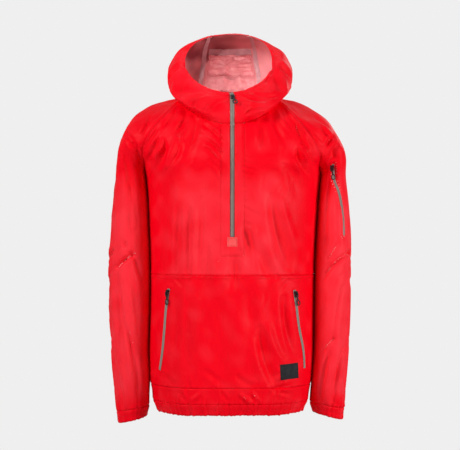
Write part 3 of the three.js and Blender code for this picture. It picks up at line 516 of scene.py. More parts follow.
@dataclass(frozen=True)
class Crease:
    """A soft trough, or with a negative depth a ridge, laid on one side of the garment.

    Sizes are in millimetres. Ends are (x, z) seen from the front or back, (y, z) from a side.
    widen is its width at the end over its width at the start, and bow its bend to the left.
    """

    start: Point2
    end: Point2
    width: float
    depth: float
    bow: float = 0.0
    widen: float = 1.0
    view: View = View.FRONT

    LIP = 0.35  # height of the soft ridges beside the trough, as a share of its depth
    LIP_PLACE = 1.9  # distance of their tops from the middle, in widths
    NARROWED = 0.85  # the width used, as a share of the width written
    ENDS = 0.06  # how much of the fade at each end is left out, as a share of the length

    def shift(self, flat: Array) -> Array:
        """How far the cloth stands out at points (n, 2) in the plane of the view."""
        start, end = np.array(self.start) * MM, np.array(self.end) * MM
        chord = end - start
        length = float(np.linalg.norm(chord))
        along = (flat - start) @ chord / length**2
        side = ((flat[:, 1] - start[1]) * chord[0] - (flat[:, 0] - start[0]) * chord[1]) / length
        held = np.clip(along, 0, 1)
        side = side - self.bow * MM * 4 * held * (1 - held)
        width = self.NARROWED * self.width * MM * (1 + (self.widen - 1) * held)
        reach = np.where(along < 0, -along, np.where(along > 1, along - 1, 0)) * length
        across = np.hypot(side, reach) / width
        fade = np.clip(self.ENDS + (1 - 2 * self.ENDS) * along, 0, 1)
        runout = np.sin(np.pi * fade) ** 0.7
        trough = np.exp(-(across**1.6))
        lips = bell(across, self.LIP_PLACE, 1) * self.LIP
        return -self.depth * MM * runout * (trough - lips)

    def box(self) -> tuple[Array, Array]:
        """The corners of the region that it reaches, in the plane of the view."""
        margin = (4.2 * self.width * max(1, self.widen) + abs(self.bow)) * MM
        ends = np.array([self.start, self.end]) * MM
        return ends.min(axis=0) - margin, ends.max(axis=0) + margin


@dataclass(frozen=True)
class Scatter:
    """Many small creases in a region, thrown with a seed, as thin cloth crinkles."""

    view: View
    x: Point2
    z: Point2
    count: int
    heading: Point2  # range of directions, in degrees from the first axis
    length: Point2
    width: Point2
    depth: Point2
    seed: int

    def creases(self) -> list[Crease]:
        """The creases, each with its own place, direction and size."""
        rng = np.random.default_rng(self.seed)
        result = []
        for _ in range(self.count):
            x, z = rng.uniform(*self.x), rng.uniform(*self.z)
            turn = math.radians(rng.uniform(*self.heading))
            length = rng.uniform(*self.length)
            end = (x + length * math.cos(turn), z + length * math.sin(turn))
            sign = -1 if rng.uniform() < ROLLED_SHARE else 1
            width = rng.uniform(*self.width)
            depth = sign * rng.uniform(*self.depth) * SMALL_DEPTH
            bow = rng.uniform(-0.12, 0.12) * length
            result.append(Crease((x, z), end, width, depth, bow, view=self.view))
        return result


@dataclass(frozen=True)
class Inset:
    """The opening of a zip laid in a panel: the cloth sinks under it and stands up beside it."""

    route: tuple[Point2, ...]
    half: float = 4.6
    sink: float = 1.7
    lip: float = 1.1
    view: View = View.FRONT

    def distance(self, flat: Array) -> Array:
        """Distance in millimetres of points (n, 2), in the plane of the view, from the zip."""
        points = np.array(self.route) * MM
        nearest = np.full(len(flat), 1.0)
        for start, end in zip(points[:-1], points[1:]):
            chord = end - start
            along = np.clip((flat - start) @ chord / (chord @ chord), 0, 1)[:, None]
            nearest = np.minimum(nearest, np.linalg.norm(flat - start - along * chord, axis=1))
        return nearest / MM

    def shift(self, flat: Array) -> Array:
        """How far the cloth stands out at points (n, 2) in the plane of the view."""
        distance = self.distance(flat)
        inside = smooth_step((self.half + 0.8 - distance) / 1.6)
        beside = bell(distance - self.half, 2.2, 1.5)
        return (self.lip * beside - self.sink * inside) * MM

    def box(self) -> tuple[Array, Array]:
        """The corners of the region that it reaches, in the plane of the view."""
        points = np.array(self.route) * MM
        margin = 4 * self.half * MM
        return points.min(axis=0) - margin, points.max(axis=0) + margin


class SoftNoise:
    """A smooth random field of about unit size, from plane waves of nearly one length."""

    WAVES = 28

    def __init__(self, wavelength: float, seed: int, stretch: Sequence[float] = (1, 1, 1)) -> None:
        """Args: wavelength in metres, seed, and how much longer the waves are on each axis."""
        rng = np.random.default_rng(seed)
        headings = unit(rng.normal(size=(self.WAVES, 3)))
        size = 2 * np.pi / wavelength * rng.uniform(0.6, 1.5, size=(self.WAVES, 1))
        self.waves = headings * size / np.array(stretch)
        self.phases = rng.uniform(0, 2 * np.pi, size=self.WAVES)

    def at(self, points: Array) -> Array:
        """The field at points (..., 3)."""
        return np.cos(points @ self.waves.T + self.phases).sum(axis=-1) / math.sqrt(self.WAVES / 2)


class Folds:
    """All that moves the cloth off its smooth form: creases, insets, gathers and slack."""

    AXES = {View.FRONT: (0, 2), View.BACK: (0, 2), View.LEFT: (1, 2), View.RIGHT: (1, 2)}

    def __init__(self, creases: Sequence[Crease | Inset], slack: float = 1.2 * MM) -> None:
        """Args: creases in any order; slack, the size of the wide soft waves."""
        self.creases = list(creases)
        self.slack = slack
        self.broad = SoftNoise(0.16, 3, stretch=(0.8, 0.8, 2.2))
        self.narrow = SoftNoise(0.055, 4, stretch=(0.8, 0.8, 2.0))
        self.crinkle = SoftNoise(0.018, 5)

    def shift(self, points: Array, normals: Array) -> Array:
        """How far each point moves along its normal.

        Args:
            points: the smooth cloth, (levels, columns, 3).
            normals: its outward normals, of the same shape.

        Returns:
            The distances in metres, (levels, columns).
        """
        flat, facing = points.reshape(-1, 3), normals.reshape(-1, 3)
        total = self.slack * (self.broad.at(flat) + 0.35 * self.narrow.at(flat))
        total += 0.12 * MM * self.crinkle.at(flat)
        weights = {view: smooth_step((facing @ np.array(view.value, dtype=float) - 0.08) / 0.45)
                   for view in self.AXES}
        for crease in sorted(self.creases, key=lambda fold: isinstance(fold, Inset)):
            weight, seen = weights[crease.view], flat[:, self.AXES[crease.view]]
            low, high = crease.box()
            near = np.all((seen > low) & (seen < high), axis=1) & (weight > 0)
            weight, seen = weight[near], seen[near]
            if isinstance(crease, Inset):
                firm = np.exp(-((crease.distance(seen) / FIRM_REACH) ** 4))
                firm = firm * smooth_step(4 * weight)
                total[near] = total[near] * (1 - firm) + weight * crease.shift(seen)
            else:
                total[near] += weight * crease.shift(seen) * CRISPNESS
        return total.reshape(points.shape[:2])


# ---- Patches of cloth ----
SETTLE_SPREAD = 0.8  # how far round a point the cloth is averaged, in cells
SETTLE_MARGIN = 0.02  # how far beyond the points the cloth is looked at, metres
LEAST_FACING = 0.12  # how squarely the cloth must face the front to be settled on


@dataclass
class Patch:
    """A piece of cloth as a grid of points with normals.

    Levels up to rings are closed rings, whose last column repeats the first. keep leaves cells
    out, which makes a slit.
    """

    points: Array
    normals: Array
    rings: int = -1
    keep: Array | None = None

    def reach(self, edge: Edge) -> Array:
        """The distance of each point from an edge, along its own row or column."""
        axis = 0 if edge in (Edge.FOOT, Edge.TOP) else 1
        steps = np.linalg.norm(np.diff(self.points, axis=axis), axis=-1)
        pad = [(0, 0), (0, 0)]
        pad[axis] = (1, 0)
        from_start = np.pad(np.cumsum(steps, axis=axis), pad)
        if edge in (Edge.FOOT, Edge.START):
            return from_start
        return np.max(from_start, axis=axis, keepdims=True) - from_start

    def press(self, shift: Array) -> None:
        """Moves the cloth along its normals."""
        self.points = self.points + self.normals * shift[..., None]

    def line(self, edge: Edge, inset: float, lift: float = 0.0) -> tuple[Array, Array]:
        """A line along an edge, at a distance inside it, with its normals."""
        reach = self.reach(edge)
        points, normals = self.points, self.normals
        if edge in (Edge.START, Edge.END):
            reach = reach.T
            points, normals = points.transpose(1, 0, 2), normals.transpose(1, 0, 2)
        order = np.abs(reach - inset).argmin(axis=0)
        columns = np.arange(reach.shape[1])
        towards = np.clip(order + np.where(reach[order, columns] < inset, 1, -1)
                          * (1 if edge in (Edge.FOOT, Edge.START) else -1), 0, len(reach) - 1)
        gap = reach[towards, columns] - reach[order, columns]
        share = np.where(np.abs(gap) > 1e-9, (inset - reach[order, columns]) / np.where(
            np.abs(gap) > 1e-9, gap, 1), 0)[:, None]
        place = points[order, columns] * (1 - share) + points[towards, columns] * share
        normal = normals[order, columns]
        return place + normal * lift, normal

    def settle(self, flat: Array) -> tuple[Array, Array]:
        """Points of the cloth's front face at given x and z, with normals.

        Args:
            flat: x and z in metres, (n, 2).

        Returns:
            The points and normals, each (n, 3).
        """
        fine = grid_normals(self.points).reshape(-1, 3)
        cloth = self.points.reshape(-1, 3)
        low, high = flat.min(axis=0) - SETTLE_MARGIN, flat.max(axis=0) + SETTLE_MARGIN
        seen = cloth[:, (0, 2)]
        usable = (-fine[:, 1] > LEAST_FACING) & np.all((seen > low) & (seen < high), axis=1)
        cloth, fine, seen = cloth[usable], fine[usable], seen[usable]
        spread = SETTLE_SPREAD * PITCH
        places, normals = [], []
        for chunk in np.array_split(flat, max(1, len(flat) // 400)):
            gap = chunk[:, None] - seen[None]
            squared = (gap**2).sum(axis=-1)
            weight = np.exp(-(squared - squared.min(axis=1, keepdims=True)) / (2 * spread**2))
            weight /= weight.sum(axis=1, keepdims=True)
            slope = -fine[:, (0, 2)] / fine[:, 1:2]
            depth = cloth[None, :, 1] + (gap * slope[None]).sum(axis=-1)
            y = (weight * depth).sum(axis=1)
            places.append(np.column_stack([chunk[:, 0], y, chunk[:, 1]]))
            normals.append(unit(weight @ fine))
        return np.concatenate(places), np.concatenate(normals)


def grid_normals(points: Array) -> Array:
    """Outward normals of a grid of points, from its own steps."""
    return unit(np.cross(np.gradient(points, axis=1), np.gradient(points, axis=0)))


NEAR_SEAM = (0.7, 1.4, 2.2, 3.2, 4.4)  # extra rows beside a seam, millimetres from it
CLOSEST = 0.22  # plain rows nearer than this to an extra one give way to it, in pitches
SPAN_STEPS = 9  # points at which a span is measured


def fine_stations(stops: Sequence[float], spans: Sequence[float], seams: bool = True) -> list:
    """Stations through stops, about a pitch apart, with closer ones beside a seam.

    Args:
        stops: positions on the net.
        spans: the length in metres between each two stops.
        seams: whether the first and the last stop are seams.

    Returns:
        The positions, rising.
    """
    result: set[float] = {float(stops[-1])}
    for start, stop, span in zip(stops[:-1], stops[1:], spans):
        count = max(1, math.ceil(span / PITCH))
        result.update(float(start + (stop - start) * step / count) for step in range(count))
    ends = (stops[0], stops[1], spans[0]), (stops[-1], stops[-2], spans[-1])
    for start, beside, span in ends if seams else ():
        closest = abs((beside - start) * PITCH / span) * CLOSEST
        for offset in NEAR_SEAM:
            if offset * MM < span / 2:
                extra = start + (beside - start) * offset * MM / span
                result = {at for at in result if at == start or abs(at - extra) > closest}
                result.add(float(extra))
    return sorted(result)


def fine_levels(
    surface: Surface, stops: Sequence[float], across: Sequence[float],
) -> Array:
    """Fine levels through the stops, closer at both ends, which are seams."""
    return np.array(fine_stations(stops, level_lengths(surface, stops, across)))


def fine_columns(
    surface: Surface, stops: Sequence[float], ups: Array, probes: int = 24,
    seams: bool = True, finer: float = 1.0,
) -> Array:
    """The same fine columns on every level.

    Args:
        surface: what they lie on.
        stops: the first column, the last and those that must be met between.
        ups: the levels.
        probes: about how many of the levels are measured.
        seams: whether the first and the last column are seams.
        finer: how many times finer than a pitch they are.

    Returns:
        The positions, (levels, columns).
    """
    lengths = column_lengths(surface, stops, thinned(ups, probes))
    spans = [length * finer for length in lengths]
    return np.tile(fine_stations(stops, spans, seams), (len(ups), 1))


def thinned(ups: Array, count: int = 24) -> Array:
    """About count of the levels, evenly taken."""
    return ups[:: max(1, len(ups) // count)]


def arc_length(points: Array) -> Array:
    """The distance of each point of a line from its first."""
    return np.concatenate([[0], np.cumsum(np.linalg.norm(np.diff(points, axis=0), axis=1))])


def column_lengths(surface: Surface, stops: Sequence[float], ups: Array) -> list[float]:
    """The greatest length between each two column stops, over the levels."""
    dense = np.linspace(0, 1, SPAN_STEPS)
    lengths = []
    for start, stop in zip(stops[:-1], stops[1:]):
        across = np.tile(start + (stop - start) * dense, (len(ups), 1))
        steps = np.linalg.norm(np.diff(surface.at(across, ups), axis=1), axis=-1)
        lengths.append(float(steps.sum(axis=1).max()))
    return lengths


def level_lengths(surface: Surface, stops: Sequence[float], across: Sequence[float]) -> list[float]:
    """The greatest length between each two level stops, over the columns."""
    lengths = []
    for start, stop in zip(stops[:-1], stops[1:]):
        ups = np.linspace(start, stop, SPAN_STEPS)
        points = surface.at(np.tile(np.array(across, dtype=float), (SPAN_STEPS, 1)), ups)
        steps = np.linalg.norm(np.diff(points, axis=0), axis=-1)
        lengths.append(float(steps.sum(axis=0).max()))
    return lengths


# ---- Meshes ----
def make_piece(
    name: str, points: Array, faces: Array | list, finish: Material,
    attributes: dict[str, Array] | None = None,
) -> bpy.types.Object:
    """A smooth mesh object at the origin.

    Args:
        name: the piece's name.
        points: its vertices, (n, 3).
        faces: vertex numbers, a row for each face.
        finish: its material.
        attributes: numbers for each vertex, by name.

    Returns:
        The new object.
    """
    mesh = bpy.data.meshes.new(name)
    rows = faces.tolist() if isinstance(faces, Array) else faces
    mesh.from_pydata(points.tolist(), [], rows)
    for label, values in (attributes or {}).items():
        layer = mesh.attributes.new(label, "FLOAT", "POINT")
        layer.data.foreach_set("value", np.asarray(values, dtype=np.float32))
    mesh.polygons.foreach_set("use_smooth", np.ones(len(mesh.polygons), dtype=bool))
    mesh.materials.append(finish)
    mesh.validate()
    mesh.update()
    piece = bpy.data.objects.new(name, mesh)
    bpy.context.scene.collection.objects.link(piece)
    return piece


def shell_piece(
    name: str, patch: Patch, finish: Material, thickness: float = SHELL_THICK,
    tints: dict[str, Array] | None = None,
) -> bpy.types.Object:
    """A patch as a closed thin shell: its outer face is the patch, and inside is 1 within.

    Args:
        name: the piece's name.
        patch: the cloth.
        finish: its material.
        thickness: the wall.
        tints: further numbers for each grid point, by name.

    Returns:
        The new object.
    """
    levels, columns = patch.points.shape[:2]
    ids = np.arange(levels * columns).reshape(levels, columns)
    if patch.rings >= 0:
        ids[: patch.rings + 1, -1] = ids[: patch.rings + 1, 0]
    quads = np.stack([ids[:-1, :-1], ids[:-1, 1:], ids[1:, 1:], ids[1:, :-1]], axis=-1)
    quads = quads[patch.keep] if patch.keep is not None else quads.reshape(-1, 4)
    count = levels * columns
    starts, ends = quads.ravel(), np.roll(quads, -1, axis=1).ravel()
    keys, twins = starts * count + ends, ends * count + starts
    rim = ~np.isin(keys, twins)
    rims = np.stack([ends[rim], starts[rim], starts[rim] + count, ends[rim] + count], axis=1)
    faces = np.concatenate([quads, quads[:, ::-1] + count, rims])
    outer = patch.points.reshape(-1, 3)
    inner = outer - patch.normals.reshape(-1, 3) * thickness
    points = np.concatenate([outer, inner])
    used, faces = np.unique(faces, return_inverse=True)
    attributes = {"inside": np.repeat([0.0, 1.0], count)[used]}
    for label, values in (tints or {}).items():
        attributes[label] = np.tile(values.ravel(), 2)[used]
    return make_piece(name, points[used], faces.reshape(-1, 4), finish, attributes)


class Stitching:
    """Stitches along seams, as small spindles lying on the cloth, joined into one piece."""

    LONG, GAP, THICK = 2.5 * MM, 0.9 * MM, 0.42 * MM
    SHAPE = np.array([
        (-0.5, 0, -0.3), (-0.32, -0.5, 0), (-0.32, 0, 0.75), (-0.32, 0.5, 0), (0.32, -0.5, 0),
        (0.32, 0, 0.75), (0.32, 0.5, 0), (0.5, 0, -0.3),
    ])
    FACES = np.array([
        (0, 2, 1), (0, 3, 2), (0, 1, 3), (1, 2, 4), (2, 5, 4), (2, 3, 5), (3, 6, 5), (3, 1, 6),
        (1, 4, 6), (7, 4, 5), (7, 5, 6), (7, 6, 4),
    ])

    def __init__(self, name: str) -> None:
        """Args: name, the piece's name."""
        self.name = name
        self.points: list[Array] = []
        self.count = 0

    def run(self, points: Array, normals: Array) -> None:
        """Adds a row of stitches along a line on the cloth."""
        length = arc_length(points)
        if length[-1] < 2 * self.LONG:
            return
        places = np.arange(self.LONG, length[-1] - self.LONG / 2, self.LONG + self.GAP)

        def read(values: Array, at: Array) -> Array:
            """Values at distances along the line."""
            return np.stack([np.interp(at, length, values[:, axis]) for axis in range(3)], axis=1)

        centre = read(points, places)
        along = unit(read(points, places + MM) - read(points, places - MM))
        out = read(normals, places)
        out = unit(out - along * (out * along).sum(axis=1, keepdims=True))
        side = np.cross(out, along)
        local = self.SHAPE * np.array([self.LONG, self.THICK * 1.6, self.THICK])
        spindle = (
            centre[:, None] + along[:, None] * local[None, :, :1]
            + side[:, None] * local[None, :, 1:2] + out[:, None] * local[None, :, 2:]
        )
        self.points.append(spindle.reshape(-1, 3))
        self.count += len(places)

    def follow(self, patch: Patch, edge: Edge, inset: float = 2.2, lift: float = 0.2) -> None:
        """Adds a row along an edge of a patch, inset and lift in millimetres."""
        self.run(*patch.line(edge, inset * MM, lift * MM))

    def piece(self, finish: Material) -> None:
        """Makes one piece of all the stitches, riding on the garment."""
        shape = len(self.SHAPE)
        faces = (self.FACES[None] + shape * np.arange(self.count)[:, None, None]).reshape(-1, 3)
        piece = make_piece(self.name, np.concatenate(self.points), faces, finish)
        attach(piece, GARMENT)


# ---- Shader helpers ----
class ShaderValue:
    """A number in a material. Maths on it adds the Math nodes that work it out."""

    def __init__(self, graph: "MaterialGraph", socket: bpy.types.NodeSocket) -> None:
        """Args: graph, the material's nodes; socket, where the number comes from."""
        self.graph, self.socket = graph, socket

    def _maths(self, operation: str, first: Any, second: Any) -> "ShaderValue":
        """The result of one Math node."""
        node = self.graph.node("ShaderNodeMath", {"operation": operation}, {0: first, 1: second})
        return ShaderValue(self.graph, node.outputs[0])

    def __add__(self, other: "ShaderValue | float") -> "ShaderValue":
        """self + other."""
        return self._maths("ADD", self, other)

    def __sub__(self, other: "ShaderValue | float") -> "ShaderValue":
        """self - other."""
        return self._maths("SUBTRACT", self, other)

    def __mul__(self, other: "ShaderValue | float") -> "ShaderValue":
        """self * other."""
        return self._maths("MULTIPLY", self, other)


class MaterialGraph:
    """A new material and the one way its nodes are added."""

    def __init__(self, name: str) -> None:
        """Args: name, the material's name."""
        self.material = bpy.data.materials.new(name)
        self.material.use_nodes = True
        self.tree = self.material.node_tree
        self.tree.nodes.clear()
        place = self.node("ShaderNodeTexCoord", {}, {})
        self.place = place.outputs["Object"]

    def node(self, kind: str, settings: dict[str, Any], inputs: dict[Any, Any]) -> bpy.types.Node:
        """Adds a node.

        Args:
            kind: the node's type.
            settings: its properties, set first; stops is a colour ramp's list.
            inputs: values or links for its sockets, by name or number.

        Returns:
            The node.
        """
        node = self.tree.nodes.new(kind)
        for name, value in settings.items():
            if name == "stops":
                self._set_stops(node.color_ramp, value)
            else:
                setattr(node, name, value)
        for name, value in inputs.items():
            if isinstance(value, ShaderValue):
                value = value.socket
            if isinstance(value, bpy.types.NodeSocket):
                self.tree.links.new(value, node.inputs[name])
            else:
                node.inputs[name].default_value = value
        return node

    @staticmethod
    def _set_stops(ramp: bpy.types.ColorRamp, stops: Sequence[tuple[float, float]]) -> None:
        """Gives a ramp its grey stops, (position, value)."""
        while len(ramp.elements) < len(stops):
            ramp.elements.new(0.5)
        for element, (position, value) in zip(ramp.elements, stops):
            element.position = position
            element.color = (value, value, value, 1)

    def noise(self, scale: float, detail: float = 2.0, stretch: Sequence[float] = (1, 1, 1)
              ) -> ShaderValue:
        """Noise in the object's own coordinates, scale counted in waves a metre."""
        place = self.node("ShaderNodeMapping", {}, {"Vector": self.place, "Scale": stretch})
        node = self.node("ShaderNodeTexNoise", {}, {
            "Vector": place.outputs[0], "Scale": scale, "Detail": detail, "Roughness": 0.55,
        })
        return ShaderValue(self, node.outputs["Fac"])

    def attribute(self, name: str) -> ShaderValue:
        """A number that the mesh holds at each vertex."""
        return ShaderValue(self, self.node(
            "ShaderNodeAttribute", {"attribute_name": name}, {}).outputs["Fac"])

    def weave(self, threads: float) -> ShaderValue:
        """Two sets of crossing threads, threads a metre."""
        waves = []
        for direction in ("X", "Z"):
            node = self.node("ShaderNodeTexWave", {
                "wave_type": "BANDS", "bands_direction": direction, "wave_profile": "SIN",
            }, {"Vector": self.place, "Scale": threads / 20, "Distortion": 0.6,
                "Detail Scale": 2.0})
            waves.append(ShaderValue(self, node.outputs["Fac"]))
        return waves[0] + waves[1]

    def spread(self, value: ShaderValue, low: float, high: float) -> ShaderValue:
        """A value's range from low to high, brought to 0 to 1 and held there."""
        node = self.node("ShaderNodeMapRange", {"clamp": True}, {
            "Value": value, "From Min": low, "From Max": high,
        })
        return ShaderValue(self, node.outputs["Result"])

    def blend(self, share: ShaderValue, first: Any, second: Any) -> bpy.types.NodeSocket:
        """A colour between two."""
        colours = [(*c, 1) if isinstance(c, tuple) else c for c in (first, second)]
        node = self.node("ShaderNodeMix", {"data_type": "RGBA"}, {
            0: share, 6: colours[0], 7: colours[1],
        })
        return node.outputs[2]

    def bump(self, height: ShaderValue, depth: float, strength: float = 1.0,
             under: Any = None) -> bpy.types.NodeSocket:
        """A normal bent by a height of the given depth in metres."""
        inputs = {"Height": height, "Distance": depth, "Strength": strength}
        if under is not None:
            inputs["Normal"] = under
        return self.node("ShaderNodeBump", {}, inputs).outputs[0]

    def finish(self, inputs: dict[str, Any]) -> Material:
        """Ends the material in one shader with the given sockets."""
        shader = self.node("ShaderNodeBsdfPrincipled", {}, inputs)
        self.node("ShaderNodeOutputMaterial", {}, {"Surface": shader.outputs[0]})
        return self.material


# ---- Finishes ----
@dataclass(frozen=True)
class ShellCloth:
    """Thin plain-woven nylon with a satin gloss, pink on its coated inside."""

    name: str = "shell_cloth"
    outside: Colour = (0.90, 0.0, 0.010)
    deep: Colour = (0.74, 0.0, 0.006)
    # painted highlight: the pinker red that the painted light turns the face to
    painted_highlight: Colour = (0.92, 0.026, 0.042)
    inside: Colour = (0.84, 0.34, 0.35)
    # painted glow: emission that stands in for daylight coming through the single layer
    glow: Colour = (0.05, 0.012, 0.013)  # daylight that comes through the single layer
    roughness: float = 0.48

    def material(self) -> Material:
        """The cloth, which reads from its mesh the inside, its painted light and its painted shade."""
        graph = MaterialGraph(self.name)
        mottle = graph.spread(graph.noise(11, 4, (1, 1, 0.6)), 0.35, 0.7)
        face = graph.blend(mottle * 0.35, self.outside, self.deep)
        # Painted highlight: the face turns to a lighter, pinker sheen where the mesh's painted light is
        # high.
        face = graph.blend(graph.attribute("painted_light"), face, self.painted_highlight)
        lining = graph.blend(graph.noise(26, 3) * 0.5, self.inside, (0.70, 0.20, 0.22))
        # Painted shade: the lining turns a dark maroon where the mesh's shade is high, in the hood's
        # top.
        lining = graph.blend(graph.attribute("shade"), lining, (0.20, 0.012, 0.018))
        colour = graph.blend(graph.attribute("inside"), face, lining)
        crinkle = graph.bump(graph.noise(120, 5, (1, 1, 0.7)), 0.0011, 0.5)
        grain = graph.bump(graph.weave(1300), 0.00006, 0.35, crinkle)
        return graph.finish({
            "Base Color": colour, "Roughness": graph.noise(60, 2) * 0.16 + self.roughness - 0.08,
            "Normal": grain, "Specular IOR Level": 0.07, "Emission Strength": 1.0,
            # The inside glows by emission: painted light for the daylight through the cloth.
            "Emission Color": graph.blend(graph.attribute("inside"), (0.0, 0.0, 0.0), self.glow),
        })


@dataclass(frozen=True)
class PlainCloth:
    """A plainly coloured cloth or thread."""

    name: str
    colour: Colour
    shade: Colour
    roughness: float = 0.7
    specular: float = 0.25
    threads: float = 900
    crinkle: float = 0.0004
    # an emission colour; inside the hood it is painted light
    glow: Colour = (0.0, 0.0, 0.0)

    def material(self) -> Material:
        """The cloth, mottled between its two colours."""
        graph = MaterialGraph(self.name)
        mottle = graph.spread(graph.noise(70, 4), 0.35, 0.68)
        normal = graph.bump(graph.noise(240, 4), self.crinkle, 0.4)
        normal = graph.bump(graph.weave(self.threads), 0.0001, 0.5, normal)
        return graph.finish({
            "Base Color": graph.blend(mottle, self.colour, self.shade),
            "Roughness": graph.noise(90, 2) * 0.15 + self.roughness - 0.07,
            "Normal": normal, "Specular IOR Level": self.specular,
            "Emission Color": (*self.glow, 1), "Emission Strength": 1.0,
        })


@dataclass(frozen=True)
class ZipTape:
    """Grey-olive tape with its coil on the far side, so that only its rows of stitches show."""

    name: str = "zip_tape"
    tape: Colour = (0.30, 0.262, 0.23)
    # the stitches' colour, also used as painted shade at the middle line and the edges
    row: Colour = (0.10, 0.085, 0.075)

    def material(self) -> Material:
        """The tape, darker where the mesh says groove: along its own stitch rows, and as painted shade
        at its middle line and its edges.
        """
        graph = MaterialGraph(self.name)
        colour = graph.blend(graph.noise(300, 3) * 0.5, self.tape, (0.22, 0.19, 0.165))
        # Stitch rows in their own dark colour; painted shade at the middle line and the edges.
        colour = graph.blend(graph.attribute("groove"), colour, self.row)
        normal = graph.bump(graph.weave(1600), 0.0001, 0.6)
        return graph.finish({
            "Base Color": colour, "Roughness": graph.noise(200, 2) * 0.2 + 0.5,
            "Normal": normal, "Specular IOR Level": 0.35,
        })


@dataclass(frozen=True)
class BlackEnamel:
    """Gloss black enamel on cast metal, a little rubbed."""

    name: str = "black_enamel"

    def material(self) -> Material:
        """The enamel, with fine unevenness and worn roughness."""
        graph = MaterialGraph(self.name)
        rub = graph.spread(graph.noise(400, 4), 0.4, 0.75)
        return graph.finish({
            "Base Color": graph.blend(rub, (0.008, 0.008, 0.010), (0.022, 0.022, 0.025)),
            "Roughness": rub * 0.2 + 0.24, "Normal": graph.bump(graph.noise(700, 2), 0.00005, 0.5),
            "Metallic": rub * 0.3 + 0.1, "Coat Weight": rub * -0.3 + 0.5,
        })


class Finishes:
    """All the materials of the garment, each made once."""

    def __init__(self) -> None:
        """Makes them."""
        self.shell = ShellCloth().material()
        self.patch = PlainCloth(
            "patch_cloth", (0.92, 0.10, 0.10), (0.88, 0.06, 0.065), 0.5).material()
        self.thread = PlainCloth(
            "red_thread", (0.70, 0.004, 0.014), (0.50, 0.002, 0.01), 0.5).material()
        # The pink inside pieces and the seam tapes glow a little by emission: painted light for
        # daylight through the hood.
        self.pink = PlainCloth(
            "pink_inside", (0.84, 0.36, 0.36), (0.72, 0.22, 0.24), 0.55, 0.3, 900, 0.0008,
            (0.09, 0.025, 0.027)).material()
        self.tape = PlainCloth(
            "seam_tape", (0.62, 0.36, 0.37), (0.50, 0.26, 0.27), 0.45, 0.4, 900, 0.0004,
            (0.05, 0.02, 0.022)).material()
        self.zip_tape = ZipTape().material()
        self.enamel = BlackEnamel().material()
        self.label = PlainCloth(
            "label_black", (0.012, 0.013, 0.015), (0.02, 0.021, 0.024), 0.75, 0.2, 1100,
            0.0002).material()
